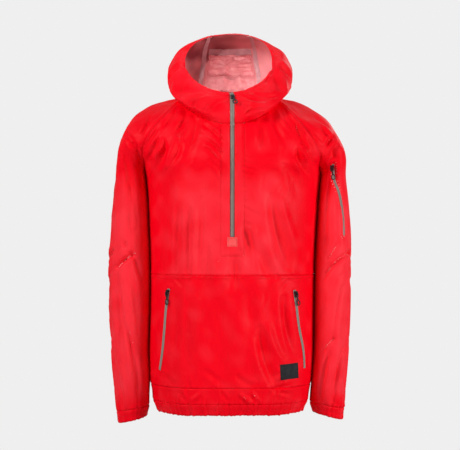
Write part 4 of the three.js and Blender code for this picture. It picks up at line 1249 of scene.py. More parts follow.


# ---- The folds, placed one by one ----
# A row is a crease: x and z of its start and end, width, depth, and where they matter its bow, how
# much it widens and the side it is seen from. Creases narrower than WIDE are made shallower.
F, B = View.FRONT, View.BACK
WIDE = 6.5  # millimetres
BODY_FOLDS = [
    # Fuller corners below the armpits.
    (-174, -140, -176, -320, 15, -2.6), (186, -140, 190, -320, 15, -2.6),
    # Puckers pulled towards the facing of the front zip, wearer's right.
    (-58, -64, -16, -104, 5, 2.4, 3), (-53, -94, -16, -140, 5.5, 2.8, 5),
    (-52, -116, -16, -166, 5.5, 2.8, 6), (-44, -142, -16, -180, 4.5, 2.2, 3),
    (-62, -84, -18, -124, 4.5, -2.0, 3), (-56, -110, -18, -156, 4.5, -2.0, 5),
    (-37, -175, -17, -197, 3, 1.5), (-37, -210, -17, -232, 3, 1.5),
    (-35, -232, -17, -252, 3, 1.3), (-34, -270, -17, -281, 3, 1.1),
    # The same on the other side.
    (27, -133, 54, -141, 3, 1.6), (27, -146, 52, -154, 3, 1.4),
    (27, -157, 55, -165, 3, 1.6), (27, -171, 54, -176, 3, 1.3),
    (27, -236, 49, -230, 3.5, 1.6), (27, -245, 64, -264, 4, 1.8),
    (27, -274, 48, -288, 3.5, 1.5), (27, -200, 44, -204, 3, 1.0),
    # Long folds that fan out from the foot of the zip and from the chest.
    (32, -284, 92, -402, 9, 5.2, -4, 1.7), (30, -296, 47, -380, 7, 2.8, 2, 1.6),
    (44, -290, 70, -392, 8, -3.0, 0, 1.5), (90, -220, 131, -378, 11, 4.8, -6, 1.5),
    (112, -230, 150, -350, 11, -3.2, -4, 1.3), (8, -352, 3, -425, 9, 2.6, 2, 1.4),
    (-26, -338, -34, -440, 16, -2.6, 0, 1.2), (150, -300, 156, -392, 7, 2.6, 5),
    # Puckers round the foot of the zip's facing.
    (-34, -316, -22, -326, 3, 1.6), (33, -322, 46, -331, 3, 1.6), (-36, -338, -22, -342, 3, 1.3),
    (-20, -356, -30, -368, 3, 1.6), (30, -356, 42, -370, 3, 1.6), (4, -356, 1, -372, 3, 1.2),
    (14, -356, 20, -370, 3, 1.2), (-10, -336, -16, -350, 3, 1.4), (20, -334, 29, -349, 3, 1.4),
    # Folds from the armpits.
    (148, -118, 192, -190, 7, 4.6, -10, 1.3), (154, -112, 186, -160, 6, -3.4, -6),
    (138, -140, 166, -176, 6, -2.2, -4), (118, -150, 150, -228, 9, 1.8, 8, 1.4),
    (-143, -98, -172, -168, 6.5, 4.0, 10, 1.3), (-158, -92, -184, -140, 5, 2.6, 5),
    (-150, -92, -178, -158, 5, -2.6, 9), (-108, -96, -134, -150, 8, 2.6, 5, 1.2),
    (-122, -92, -150, -166, 6, -2.0, 8), (-178, -46, -196, -84, 5, 2.4, 2),
    (-156, -60, -190, -110, 6, 2.0, 4), (-140, -180, -152, -300, 13, 2.2, 6, 1.3),
    # Folds that radiate from the neck.
    (-96, -36, -124, -84, 6, 2.2, 3), (-118, -26, -152, -74, 6, 2.2, 2),
    (-74, -52, -96, -130, 8, 1.8, 3, 1.4), (-86, -44, -112, -108, 6, -1.6, 3),
    (-136, -18, -172, -58, 5, 1.6, 0), (68, -48, 84, -130, 9, 1.8, -3, 1.4),
    (92, -38, 124, -108, 7, 2.0, -3, 1.2), (104, -28, 140, -88, 5, -1.6, -3),
    (58, -58, 60, -118, 6, -1.4, 2), (120, -20, 150, -66, 5, 1.8, -2),
    # The raglan seam, wearer's left, with its crease and the ridge beside it.
    (144, -48, 170, -116, 5.5, 3.2, -5), (120, -14, 202, -108, 6, -2.8, -8),
    (204, -60, 224, -90, 5, 3.4, -2), (232, -98, 202, -138, 6, -3.2, 2),
    (214, -112, 238, -80, 5, 3.6, 2), (190, -40, 226, -66, 6, 2.0, 2),
    # Soft vertical slack over the front, down to the cross seam.
    (-134, -262, -138, -392, 8, 1.8, 3), (-112, -236, -116, -394, 8, 1.6, -3),
    (-90, -250, -92, -394, 7, 1.5, 2), (-66, -226, -70, -394, 8, 1.5, 2),
    (-46, -290, -48, -390, 6, 1.2, -2), (-122, -240, -127, -392, 6, -1.4, 0),
    (-78, -240, -81, -394, 6, -1.4, 0), (66, -300, 74, -330, 7, -1.2),
    (0, -212, -2, -300, 6, 0.1), (-140, -320, -156, -410, 9, 2.2, 4),
    # The pocket panel.
    (66, -508, 104, -640, 9, 4.4, -9, 1.4), (84, -500, 118, -590, 9, -2.4, -6),
    (120, -440, 150, -584, 9, 4.6, -8, 1.2), (166, -440, 182, -600, 8, -2.6, -4),
    (40, -430, 64, -560, 14, 1.8, -6, 1.3), (-30, -450, -24, -620, 20, 1.6, 8),
    (-84, -430, -96, -600, 18, 1.8, -8), (-120, -440, -126, -590, 10, 2.0, 3),
    (-158, -440, -172, -600, 8, 2.6, 4), (-176, -598, -124, -634, 6, 3.2, 5),
    (-168, -576, -134, -604, 5, 2.0, 4), (92, -640, 160, -622, 5, 2.6, -5),
    (98, -628, 128, -608, 5, -2.0, 2), (132, -640, 172, -612, 5, 2.6, -3),
    (-172, -618, -140, -640, 5, -2.0, 3), (-60, -600, -20, -632, 7, 1.2, 3),
    (10, -610, 52, -636, 7, 1.2, -3),
    # Pulls at the ends of the hand pockets.
    (-150, -404, -122, -410, 4, 1.8, -4), (-128, -398, -104, -418, 4, 1.3, 2),
    (128, -406, 158, -412, 4, 1.8, -4), (112, -424, 132, -404, 4, 1.3, 2),
    (-166, -606, -150, -622, 4, 1.6, 0), (160, -606, 176, -624, 4, 1.8, 0),
    # The hem band.
    (20, -650, 44, -672, 5, -2.0, 0), (46, -648, 66, -670, 4, -1.8, 0),
    (-64, -650, -84, -668, 5, -1.6, 0), (-150, -648, -168, -668, 4, 2.0, 0),
    (96, -648, 150, -668, 4, 2.2, 4), (-20, -648, -6, -668, 4, 1.4, 0),
    (120, -646, 174, -656, 4, -1.6, 3), (-110, -648, -96, -670, 4, 1.5, 0),
    # The back: folds from neck and shoulder blades, a few long ones, and slack at the waist.
    (-70, -20, -110, -110, 9, 2.6, 5, 1.4, B), (72, -20, 116, -118, 9, 2.8, -5, 1.4, B),
    (-30, -14, -44, -120, 9, 1.8, 3, 1.5, B), (34, -16, 40, -104, 8, 1.6, -3, 1.5, B),
    (-168, -70, -120, -200, 9, 3.4, -8, 1.6, B), (166, -74, 112, -220, 9, 3.6, 8, 1.6, B),
    (-186, -110, -150, -260, 8, 3.2, -8, 1.4, B), (186, -116, 156, -240, 8, 3.0, 6, 1.4, B),
    (-150, -230, -60, -330, 13, 2.8, 10, 1.3, B), (158, -260, 70, -350, 12, 3.0, -10, 1.3, B),
    (-100, -300, -124, -520, 13, 3.0, -12, 1.2, B), (104, -340, 120, -560, 13, 3.2, 10, 1.2, B),
    (-40, -280, -56, -540, 14, 2.4, 10, 1.3, B), (30, -260, 44, -520, 14, 2.6, -8, 1.3, B),
    (-4, -360, 2, -620, 12, 2.2, 6, 1.1, B), (-150, -420, -160, -610, 9, 2.8, 6, 1.1, B),
    (150, -430, 164, -620, 9, 3.0, -6, 1.1, B), (-90, -600, -40, -634, 7, 1.8, 4, 1, B),
    (60, -596, 118, -636, 7, 2.2, -4, 1, B), (-136, -596, -168, -634, 6, 2.2, 0, 1, B),
    (-76, -330, -96, -480, 10, -2.4, -8, 1.2, B), (76, -360, 88, -520, 10, -2.4, 8, 1.2, B),
    # The sides.
    (-60, -220, -20, -420, 10, 2.6, 8, 1.2, View.LEFT),
    (30, -240, 50, -460, 10, 2.6, -6, 1.2, View.LEFT),
    (-60, -230, -24, -440, 10, 2.6, 8, 1.2, View.RIGHT),
    (34, -250, 56, -470, 10, 2.6, -6, 1.2, View.RIGHT),
    (-40, -480, 0, -640, 9, 2.4, 6, 1.1, View.LEFT),
    (-30, -500, 10, -640, 9, 2.4, 6, 1.1, View.RIGHT),
    Scatter(F, (-150, 150), (-630, -420), 46, (-120, -60), (14, 46), (2.4, 4.5), (0.25, 0.8), 11),
    Scatter(F, (-170, 180), (-380, -150), 60, (-125, -65), (16, 50), (2.4, 4.5), (0.25, 0.8), 12),
    Scatter(F, (-170, 170), (-150, -20), 50, (-150, -40), (12, 36), (2.2, 4), (0.3, 0.8), 13),
    Scatter(F, (-165, 165), (-650, -615), 36, (-110, -70), (10, 28), (2, 3.4), (0.5, 1.2), 14),
    Scatter(B, (-170, 170), (-640, -60), 150, (-125, -55), (16, 54), (2.4, 4.6), (0.3, 0.9), 15),
    Scatter(F, (-160, 160), (-399, -388), 56, (-105, -75), (8, 16), (1.8, 2.8), (0.35, 0.8), 16),
]

ARM_FOLDS = {
    "right": [
        (-217, -104, -190, -156, 6, 3.6, 5), (-206, -126, -186, -236, 7, 4.0, 5, 1.2),
        (-234, -126, -219, -306, 7, 3.4, 5, 1.2), (-246, -140, -247, -290, 6, -2.4, -3),
        (-227, -196, -214, -292, 6, -2.6, 2), (-204, -220, -196, -330, 6, -2.0, 2),
        (-256, -382, -214, -350, 6, 4.6, 3), (-258, -366, -218, -332, 6, -2.6, 3),
        (-238, -318, -212, -356, 5, 2.6, -3), (-215, -350, -186, -490, 7, 4.6, 8, 1.2),
        (-236, -372, -222, -520, 11, -3.6, -2, 1.2), (-252, -400, -244, -560, 8, 2.4, 3),
        (-236, -486, -206, -676, 6, 3.6, 6, 1.1), (-218, -548, -198, -682, 5.5, 3.2, 4),
        (-227, -500, -208, -640, 5, -2.6, 4), (-243, -600, -230, -690, 6, -2.4, 2),
        (-200, -400, -190, -540, 6, -2.2, 3), (-250, -640, -240, -692, 4, 2.0, 2),
        (-246, -70, -212, -110, 7, 2.2, 3), (-196, -590, -190, -690, 5, 2.6, 2),
        Scatter(F, (-262, -186), (-690, -130), 60, (-115, -60), (14, 48), (2.2, 4.2), (0.3, 0.9), 21),
    ],
    "left": [
        (231, -104, 230, -152, 11, 3.4), (206, -150, 196, -300, 7, 4.0, -5, 1.3),
        (224, -170, 214, -330, 6, 2.8, -4, 1.1),
        (214, -190, 205, -310, 5, -2.6, -3), (232, -200, 236, -330, 6, 1.4, 3),
        (222, -240, 218, -340, 5, -2.0, 0), (270, -346, 196, -412, 7, 5.2, -8, 1.2),
        (262, -372, 210, -428, 6, -3.2, -6), (246, -320, 214, -372, 6, 3.0, -3),
        (238, -300, 205, -360, 5, -2.2, -3), (256, -320, 262, -350, 5, 2.2, 2),
        (232, -420, 212, -560, 15, -3.2, 4, 1.1), (250, -420, 228, -548, 6, 3.8, -5, 1.1),
        (230, -536, 192, -602, 6, 4.2, -6), (224, -552, 198, -670, 6, 3.6, -5, 1.1),
        (246, -545, 214, -680, 7, -3.4, -4), (254, -560, 232, -690, 5.5, 3.0, -4),
        (206, -440, 194, -520, 5, 2.2, -3), (200, -610, 192, -680, 5, -2.0, -2),
        (212, -468, 196, -486, 4, 1.8, 0), (242, -650, 226, -700, 4, 2.0, 0),
        Scatter(F, (190, 262), (-690, -130), 60, (-120, -65), (14, 48), (2.2, 4.2), (0.3, 0.9), 22),
    ],
}


def both_arms(name: str) -> list[tuple | Scatter]:
    """Folds on the outside and the back of a sleeve, at the elbow and down to the cuff."""
    side = ARMS[name].side
    view = View.LEFT if side > 0 else View.RIGHT
    return [
        (side * 214, -150, side * 230, -330, 8, 3.4, side * 5, 1.2, B),
        (side * 250, -340, side * 196, -400, 7, 4.6, side * 5, 1.2, B),
        (side * 252, -372, side * 204, -436, 7, -2.8, side * 5, 1, B),
        (side * 240, -400, side * 214, -560, 8, 3.6, side * -5, 1.2, B),
        (side * 220, -540, side * 234, -690, 6, 3.4, side * 4, 1.1, B),
        (side * 206, -520, side * 204, -680, 5, -2.6, 0, 1, B),
        (side * 228, -90, side * 206, -170, 7, 3.0, 4, 1.2, B),
        (20, -160, 8, -330, 8, 1.0, 5, 1.2, view),
        (30, -170, 22, -340, 8, 2.8, -5, 1.2, view),
        (-48, -340, 34, -400, 7, 4.2, 6, 1, view),
        (-40, -372, 30, -436, 8, -2.6, 6, 1, view),
        (4, -400, -24, -560, 8, 3.4, 6, 1.2, view),
        (-30, -540, -6, -690, 6, 3.2, -4, 1.1, view),
        (10, -560, 6, -690, 5, -2.4, 2, 1, view),
        Scatter(B, tuple(sorted((side * 190, side * 262))), (-690, -130), 50, (-115, -65),
                (14, 48), (2.2, 4.2), (0.3, 0.9), 23),
        Scatter(view, (-50, 50), (-690, -60), 60, (-115, -65), (14, 48), (2.2, 4.2), (0.3, 0.9), 24),
    ]


HOOD_FOLDS = [
    (-48, 2, -76, -28, 5, -2.6, -5), (-40, -8, -58, -36, 4, 2.4, -4),
    (-66, 6, -96, -14, 5, 2.2, -3), (-86, 10, -112, -6, 4, -1.8, 0),
    (-20, -14, -48, -40, 4, -1.8, 0), (-60, 14, -100, 2, 5, 1.8, -3),
    (28, -2, 88, -10, 4, 2.2, -4), (34, -14, 78, -20, 4, -2.0, -3),
    (82, 48, 80, 30, 4, 2.4, 0), (56, 0, 110, 4, 5, 2.0, -5),
    (32, -44, 62, -24, 4.5, 3.6, 4), (40, -48, 84, -32, 4, -1.8, 4),
    (-104, 60, -112, 10, 7, 2.0, 4), (106, 60, 112, 14, 7, 2.0, -4),
    (-88, 96, -96, 40, 6, 1.6, 3), (92, 96, 98, 40, 6, 1.6, -3),
    (-124, 40, -126, -4, 5, -1.6, 2), (124, 42, 128, 0, 5, -1.6, -2),
    (-60, 110, -88, 20, 9, 2.8, 6, 1.2, B), (58, 116, 92, 24, 9, 2.8, -6, 1.2, B),
    (-14, 130, -22, 20, 9, 2.2, 4, 1.2, B), (22, 124, 30, 14, 9, 2.2, -4, 1.2, B),
    (-90, 60, 90, 48, 12, 3.0, 8, 1.0, B), (-86, 34, 86, 26, 9, -2.2, 6, 1.0, B),
    (-60, 100, -20, 20, 9, 2.8, 4, 1.2, View.LEFT),
    (20, 120, 50, 20, 9, 2.8, -4, 1.2, View.LEFT),
    (-60, 96, -20, 16, 9, 2.8, 4, 1.2, View.RIGHT),
    (24, 124, 54, 18, 9, 2.8, -4, 1.2, View.RIGHT),
    Scatter(F, (-110, 110), (-40, 110), 90, (-160, -20), (10, 34), (2, 3.8), (0.3, 0.9), 31),
    Scatter(B, (-100, 100), (0, 140), 60, (-130, -50), (14, 44), (2.2, 4.2), (0.3, 1.0), 32),
]


def spread_out(folds: Sequence[tuple | Scatter | Inset]) -> list[Crease | Inset]:
    """A list of folds with each row and each scatter turned into creases."""
    result = []
    for fold in folds:
        if isinstance(fold, tuple):
            start, end, (width, depth, *rest) = fold[:2], fold[2:4], fold[4:]
            result.append(Crease(start, end, width, depth * min(1, width / WIDE), *rest))
        else:
            result.extend(fold.creases() if isinstance(fold, Scatter) else [fold])
    return result


@dataclass(frozen=True)
class Gather:
    """Cloth drawn up on elastic: uneven pleats that stand along a tube and fade beyond it."""

    centre: Point2  # the tube's axis, x and y in millimetres
    seam: float  # height of the elastic's upper edge, millimetres
    pleats: int
    depth: float
    fade: float  # how far up the pleats run, millimetres
    seed: int

    def shift(self, points: Array) -> Array:
        """How far points (..., 3) stand out."""
        rng = np.random.default_rng(self.seed)
        turn = np.arctan2(points[..., 1] - self.centre[1] * MM, points[..., 0] - self.centre[0] * MM)
        total = np.zeros(turn.shape)
        for share in (0.43, 0.71, 1.0, 1.36, 1.9):
            count = round(self.pleats * share)
            phase, sway, slow = rng.uniform(0, 6.28), rng.uniform(0.2, 0.6), rng.integers(3, 9)
            size = rng.uniform(0.5, 1.0) / (0.6 + share)
            waver = sway * np.sin(slow * turn + phase)
            total += size * np.sin(count * turn + phase + 6 * waver)
        above = np.clip(points[..., 2] / MM - self.seam, 0, None)
        rise = np.exp(-((above / self.fade) ** 1.3))
        below = np.clip(self.seam - points[..., 2] / MM, 0, None)
        return self.depth * MM * total * rise * (0.75 + 0.25 * np.cos(below / 4))


# ---- The garment's sub-assemblies ----
GATHER_FINER = 1.35  # the gathered hem's columns are this many times as close
CALM_REACH = 14 * MM  # the folds fade out over this distance from a shaped seam
FLATTENED = 0.95  # the share of the folds that is lost between trunk and sleeve


@dataclass(frozen=True)
class Cut:
    """The flat cloth that shows of one piece: width and length, and its area."""

    flat: tuple[float, float]
    area: float


def wear(
    piece: bpy.types.Object, slot: str, node: str, cut: Cut,
) -> None:
    """Rides a cloth piece on the garment in place of its CAD node and logs its faces."""
    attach(piece, GARMENT)
    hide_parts(node)
    log.info("%s: %d faces", piece.name, len(piece.data.polygons))


def painted_light_share(points: Array, region: Callable[[Array], Array]) -> Array:
    """Painted light at each point, 0 to 1, made a little patchy, standing in for the light that a
    single layer lets through; the hood's painted shade is made the same way.
    """
    patchy = SoftNoise(0.05, 41).at(points) * 0.12
    return np.clip(region(points) + patchy, 0, 1)


@dataclass(frozen=True)
class SideGap:
    """The narrow space between the trunk's side and the sleeve, which the soft cloth fills."""

    name: str
    left_over: float = 0.1  # space that stays, millimetres
    most: float = 6.0  # what is filled of a wider gap, millimetres
    trunk_share: float = 0.7
    foot: float = -668.0  # height where the filling begins, and the run over which it does
    foot_run: float = 45.0
    top: float = -174.0  # height where it ends below the armpit, and its run
    top_run: float = 18.0

    def shift(self, points: Array, normals: Array, on_trunk: bool) -> Array:
        """How far each point moves outward into the gap, in metres."""
        arm = ARMS[self.name]
        half = [row[1 if arm.side < 0 else 2] for row in TRUNK]
        heights = [row[0] for row in TRUNK]
        inner, inner_z = [row[0] for row in arm.rows], [row[2] for row in arm.rows]
        z = points[..., 2] / MM
        gap = np.interp(z, inner_z, inner) - np.interp(z, heights, half)
        fill = np.clip(gap - self.left_over, 0, self.most)
        fill *= smooth_step((z - self.foot) / self.foot_run)
        fill *= smooth_step((self.top - z) / self.top_run)
        share = self.trunk_share if on_trunk else 1 - self.trunk_share
        return fill * share * self.facing(normals, on_trunk) * MM

    def fill(
        self, shift: Array, points: Array, normals: Array, on_trunk: bool,
    ) -> Array:
        """The cloth's shift, with its folds flattened in the gap and the gap filled."""
        flattened = shift * (1 - FLATTENED * self.facing(normals, on_trunk))
        return flattened + self.shift(points, normals, on_trunk)

    def facing(self, normals: Array, on_trunk: bool) -> Array:
        """How squarely the cloth faces the gap, 0 to 1."""
        towards = ARMS[self.name].side * normals[..., 0] * (1 if on_trunk else -1)
        return smooth_step((towards - 0.45) / 0.4)


@dataclass
class Trunk:
    """Upper front, pocket panel, back, hem band and elastic casing."""

    net: Net
    folds: Folds
    finishes: Finishes
    cuts: dict[str, Cut] = field(default_factory=lambda: {
        "front_upper": Cut((0.50, 0.41), 0.174),
        "front_pocket_panel": Cut((0.53, 0.25), 0.130),
        "back": Cut((0.48, 0.70), 0.302),
        "hem_band": Cut((1.01, 0.037), 0.037),
        "hem_casing": Cut((1.06, 0.026), 0.027),
    })
    hem: Gather = Gather((0, 0), CASING_SEAM, 110, 1.15, 15, 51)
    facing_right: float = -20.0  # x of the stitch lines of the zip's facing
    facing_left: float = 31.0
    facing_foot: float = -352.0
    patches: dict[str, Patch] = field(default_factory=dict)

    def build(self) -> None:
        """Makes the five pieces and their stitching."""
        rows = {z: index for index, (z, *_) in enumerate(TRUNK)}
        pocket, hem, casing = rows[POCKET_SEAM], rows[HEM_SEAM], rows[CASING_SEAM]
        yoke = [float(level) for level in range(ARMPIT, NECK + 1)]
        front, rear, round_hem = self.net.front, self.net.back, self.net.trunk_rings
        upper = fine_levels(front, [*range(pocket, ARMPIT), *yoke], (2.0, 3.0, 1.0))
        columns, slit = self._front_columns(upper)
        keep = np.ones((len(upper) - 1, columns.shape[1] - 1), dtype=bool)
        keep[upper[:-1] >= rows[ZIP_FOOT] - 1e-6, slit] = False
        self._make("front_upper", front, columns, upper, keep)
        low = fine_levels(front, list(range(hem, pocket + 1)), (2.0, 3.0, 1.0))
        self._make("front_pocket_panel", front, self._front_columns(low)[0], low)
        levels = fine_levels(rear, [*range(hem, ARMPIT), *yoke], (2.0, 1.0, 3.0))
        columns = fine_columns(rear, [0.0, 1.0, 2.0, 3.0, 4.0], levels)
        self._make("back", rear, columns, levels)
        stops = [float(stop) for stop in range(9)]
        for name, foot in (("hem_band", casing), ("hem_casing", rows[HEM_EDGE])):
            levels = fine_levels(round_hem, [foot, foot + 1], (2.0, 6.0))
            columns = fine_columns(round_hem, stops, levels, len(levels), False, GATHER_FINER)
            self._make(name, round_hem, columns, levels, ring=True)
        self._stitch()

    def _front_columns(self, ups: Array) -> tuple[Array, int]:
        """Columns of each front level, with a pair beside the zip, and the slit's cell."""
        half = ZIP_WIDTH / 2 * MM
        right = self.net.front.across_at_x(ups, FRONT_X * MM - half, 1.2, 2.4)
        left = self.net.front.across_at_x(ups, FRONT_X * MM + half, 1.6, 2.8)
        base = fine_stations([0.0, 1.0, 2.0], column_lengths(self.net.front, [0, 1, 2], thinned(ups)))
        rising = np.array(base)[None] * np.ones((len(ups), 1))
        to_right = np.where(rising > 1, 1 + (rising - 1) * (right[:, None] - 1), rising)
        to_left = np.where(rising > 1, 1 + (rising - 1) * (3 - left[:, None]), rising)
        columns = np.concatenate([to_right, 4 - to_left[:, ::-1]], axis=1)
        return columns, len(base) - 1

    def _make(
        self, name: str, surface: Surface, columns: Array, levels: Array,
        keep: Array | None = None, ring: bool = False,
    ) -> None:
        """Makes one piece with its folds and its seams."""
        points, normals = surface.sample(columns, levels)
        patch = Patch(points, normals, len(levels) - 1 if ring else -1, keep)
        at_neck = name in ("front_upper", "back")
        shift = self.folds.shift(points, normals)
        for side in map(SideGap, ARMS):
            shift = side.fill(shift, points, normals, True)
        if not ring:
            reach = np.minimum(patch.reach(Edge.START), patch.reach(Edge.END))
            above = smooth_step((points[..., 2] / MM + 240) / 60)
            shift *= 1 - above * (1 - away_from_seam(reach))
        if at_neck:
            shift *= away_from_seam(patch.reach(Edge.TOP))
        if name == "front_upper":
            shift += self._facing(points)
        shift += self.hem.shift(points)
        shift += seam_groove(patch.reach(Edge.FOOT))
        shift += seam_groove(patch.reach(Edge.TOP), meets=at_neck)
        if not ring:
            shift += seam_groove(patch.reach(Edge.START), meets=True)
            shift += seam_groove(patch.reach(Edge.END), meets=True)
            near = np.minimum(patch.reach(Edge.FOOT), patch.reach(Edge.TOP))
            shift += pucker(points, near)
        patch.press(shift)
        # The piece's painted light, which its cloth shows as a painted highlight.
        tints = {"painted_light": painted_light_share(points, self._painted_light_region)}
        piece = shell_piece(f"shell_{name}", patch, self.finishes.shell, tints=tints)
        wear(piece, "red_shell", name, self.cuts[name])
        self.patches[name] = patch

    def _painted_light_region(self, points: Array) -> Array:
        """Painted light: the front where it is one layer thick, painted brighter towards a sheen, and a
        little on the zip's facing.
        """
        x, z = points[..., 0] / MM, points[..., 2] / MM
        aside = np.abs(x - FRONT_X)
        front = smooth_step((-points[..., 1] / MM - 60) / 40)
        window = smooth_step((-150 - z) / 70) * smooth_step((z - POCKET_SEAM + 2) / 8)
        sides = smooth_step((150 - aside) / 60)
        facing = smooth_step((22 - aside) / 3) * smooth_step((z - self.facing_foot) / 4)
        return front * np.maximum(window * sides * 0.75, facing * 0.3)

    def _facing(self, points: Array) -> Array:
        """The facing behind the zip: flat, a little proud, with a groove at its stitch line."""
        x, z = points[..., 0] / MM, points[..., 2] / MM
        front = (points[..., 1] < 0) * smooth_step((z - self.facing_foot + 8) / 6)
        from_edge = np.minimum(x - self.facing_right, self.facing_left - x)
        from_edge = np.minimum(from_edge, z - self.facing_foot)
        groove = bell(from_edge, 0, 1.6)
        slit = np.abs(x - FRONT_X) - ZIP_WIDTH / 2
        lip = bell(slit, 1.6, 1.3) * (z > ZIP_FOOT - 4)  # beside the slit and just below it
        return front * (0.5 * smooth_step(from_edge / 3) - 1.8 * groove + 0.9 * lip) * MM

    def _stitch(self) -> None:
        """Topstitching along the seams of the trunk."""
        front, back = Stitching("stitching_front"), Stitching("stitching_back")
        upper, low, rear = (self.patches[name] for name in (
            "front_upper", "front_pocket_panel", "back"))
        front.follow(low, Edge.TOP)
        front.follow(low, Edge.TOP, 7.5)
        front.follow(low, Edge.FOOT)
        for edge in (Edge.START, Edge.END):
            front.follow(upper, edge)
            back.follow(rear, edge)
        back.follow(rear, Edge.FOOT)
        back.follow(rear, Edge.TOP)
        casing = self.patches["hem_casing"]
        for stitching, half in ((front, slice(0, 4)), (back, slice(4, 8))):
            columns = casing.points.shape[1] // 8
            span = slice(half.start * columns, half.stop * columns)
            strip = Patch(casing.points[:, span], casing.normals[:, span])
            stitching.follow(strip, Edge.TOP)
            stitching.follow(strip, Edge.TOP, 13.0)
            stitching.follow(strip, Edge.FOOT, 2.4)
        heights = np.arange(self.facing_foot, -66, 2.0)
        foot = np.arange(self.facing_right, self.facing_left, 2.0)
        for x, z in ((self.facing_right, heights), (self.facing_left, heights),
                     (foot, self.facing_foot)):
            flat = np.stack(np.broadcast_arrays(x, z), axis=-1) * MM
            points, normals = upper.settle(flat)
            front.run(points + normals * (0.2 * MM), normals)
        for stitching in (front, back):
            stitching.piece(self.finishes.thread)


def away_from_seam(reach: Array) -> Array:
    """How freely the cloth folds at a distance from a shaped seam, 0 to 1."""
    return smooth_step(reach / CALM_REACH)


def seam_groove(reach: Array, meets: bool = False) -> Array:
    """The dip of a seam and the soft ridge of its allowance beside it.

    Args:
        reach: distance from the seam, metres.
        meets: whether the two pieces face different ways there, so that the edge stays put.

    Returns:
        How far the cloth stands out, metres.
    """
    distance = reach / MM
    dip = bell(distance, 1.4, 1) if meets else bell(distance, 0, 1.3)
    ridge = bell(distance, 4.5, 2.6) * smooth_step(distance)
    return (0.45 * ridge - 0.8 * dip * (smooth_step(distance) if meets else 1)) * MM


PUCKERS = SoftNoise(8 * MM, 61, stretch=(1, 1, 2.5))


def pucker(points: Array, reach: Array, size: float = 0.4) -> Array:
    """The small unevenness that a seam draws into thin cloth beside it."""
    distance = reach / MM
    return PUCKERS.at(points) * size * MM * np.exp(-distance / 9) * smooth_step(distance / 2)


@dataclass
class Sleeve:
    """One raglan sleeve with its elastic cuff."""

    name: str
    net: Net
    folds: Folds
    finishes: Finishes
    patches: dict[str, Patch] = field(default_factory=dict)

    def build(self) -> None:
        """Makes the sleeve, the cuff and their stitching."""
        arm = ARMS[self.name]
        inner, outer, inner_z, outer_z, front, back = arm.rows[CUFF_ROW]
        centre = (arm.side * (inner + outer) / 2, (front + back) / 2)
        seed = 71 if self.name == "left" else 72
        gather = Gather(centre, (inner_z + outer_z) / 2, 34, 1.2, 20, seed)
        surface = self.net.sleeves[self.name]
        yoke = range(SLEEVE_ARMPIT, SLEEVE_ARMPIT + len(YOKE) + 1)
        tube = [*range(CUFF_ROW, SLEEVE_ARMPIT), *yoke]
        area = 0.217 if self.name == "right" else 0.209
        self._make("sleeve", surface, tube, gather, Cut((0.36, 0.75), area))
        self._make("cuff", surface, [0, CUFF_ROW], gather, Cut((0.27, 0.027), 0.0068))
        self._stitch()

    def _make(
        self, kind: str, surface: Surface, stops: list[float], gather: Gather, cut: Cut,
    ) -> None:
        """Makes the sleeve or the cuff."""
        levels = fine_levels(surface, stops, (1.0, 2.0, 3.0))
        columns = fine_columns(surface, [0.0, 1.0, 2.0, 3.0, 4.0], levels)
        points, normals = surface.sample(columns, levels)
        rings = int(np.sum(levels <= SLEEVE_ARMPIT)) - 1
        patch = Patch(points, normals, rings=rings)
        shift = np.minimum(self.folds.shift(points, normals), 2 * MM)
        shift = SideGap(self.name).fill(shift, points, normals, False)
        reach = np.minimum(patch.reach(Edge.START), patch.reach(Edge.END))
        open_part = smooth_step((levels[:, None] - SLEEVE_ARMPIT + 0.9) / 0.9)
        shift *= 1 - open_part * (1 - away_from_seam(reach))
        if kind == "sleeve":
            shift *= away_from_seam(patch.reach(Edge.TOP))
            shift += seam_groove(reach, meets=True) * open_part
        shift += gather.shift(points)
        shift += seam_groove(patch.reach(Edge.FOOT))
        shift += seam_groove(patch.reach(Edge.TOP), meets=kind == "sleeve")
        shift[: rings + 1, -1] = shift[: rings + 1, 0]
        patch.press(shift)
        # The sleeve's painted light, which its cloth shows as a painted highlight.
        tints = {"painted_light": painted_light_share(points, self._painted_light_region)}
        piece = shell_piece(f"shell_{kind}_{self.name}", patch, self.finishes.shell, tints=tints)
        held = "gathered" if kind == "cuff" else "hung"
        wear(piece, "red_shell", f"{kind}_{self.name}", cut)
        self.patches[kind] = patch

    @staticmethod
    def _painted_light_region(points: Array) -> Array:
        """Painted light: the lower sleeve, one layer thick, painted a little brighter, most in front.
        """
        z = points[..., 2] / MM
        front = smooth_step((-points[..., 1] / MM - 20) / 40)
        return (0.3 + 0.6 * front) * smooth_step((-150 - z) / 120) * smooth_step((z + 700) / 60)

    def _stitch(self) -> None:
        """Topstitching at the cuff and inside the casing's edge."""
        stitching = Stitching(f"stitching_sleeve_{self.name}")
        sleeve, cuff = self.patches["sleeve"], self.patches["cuff"]
        stitching.follow(sleeve, Edge.FOOT)
        stitching.follow(cuff, Edge.TOP, 12.0)
        stitching.follow(cuff, Edge.FOOT, 2.4)
        stitching.piece(self.finishes.thread)


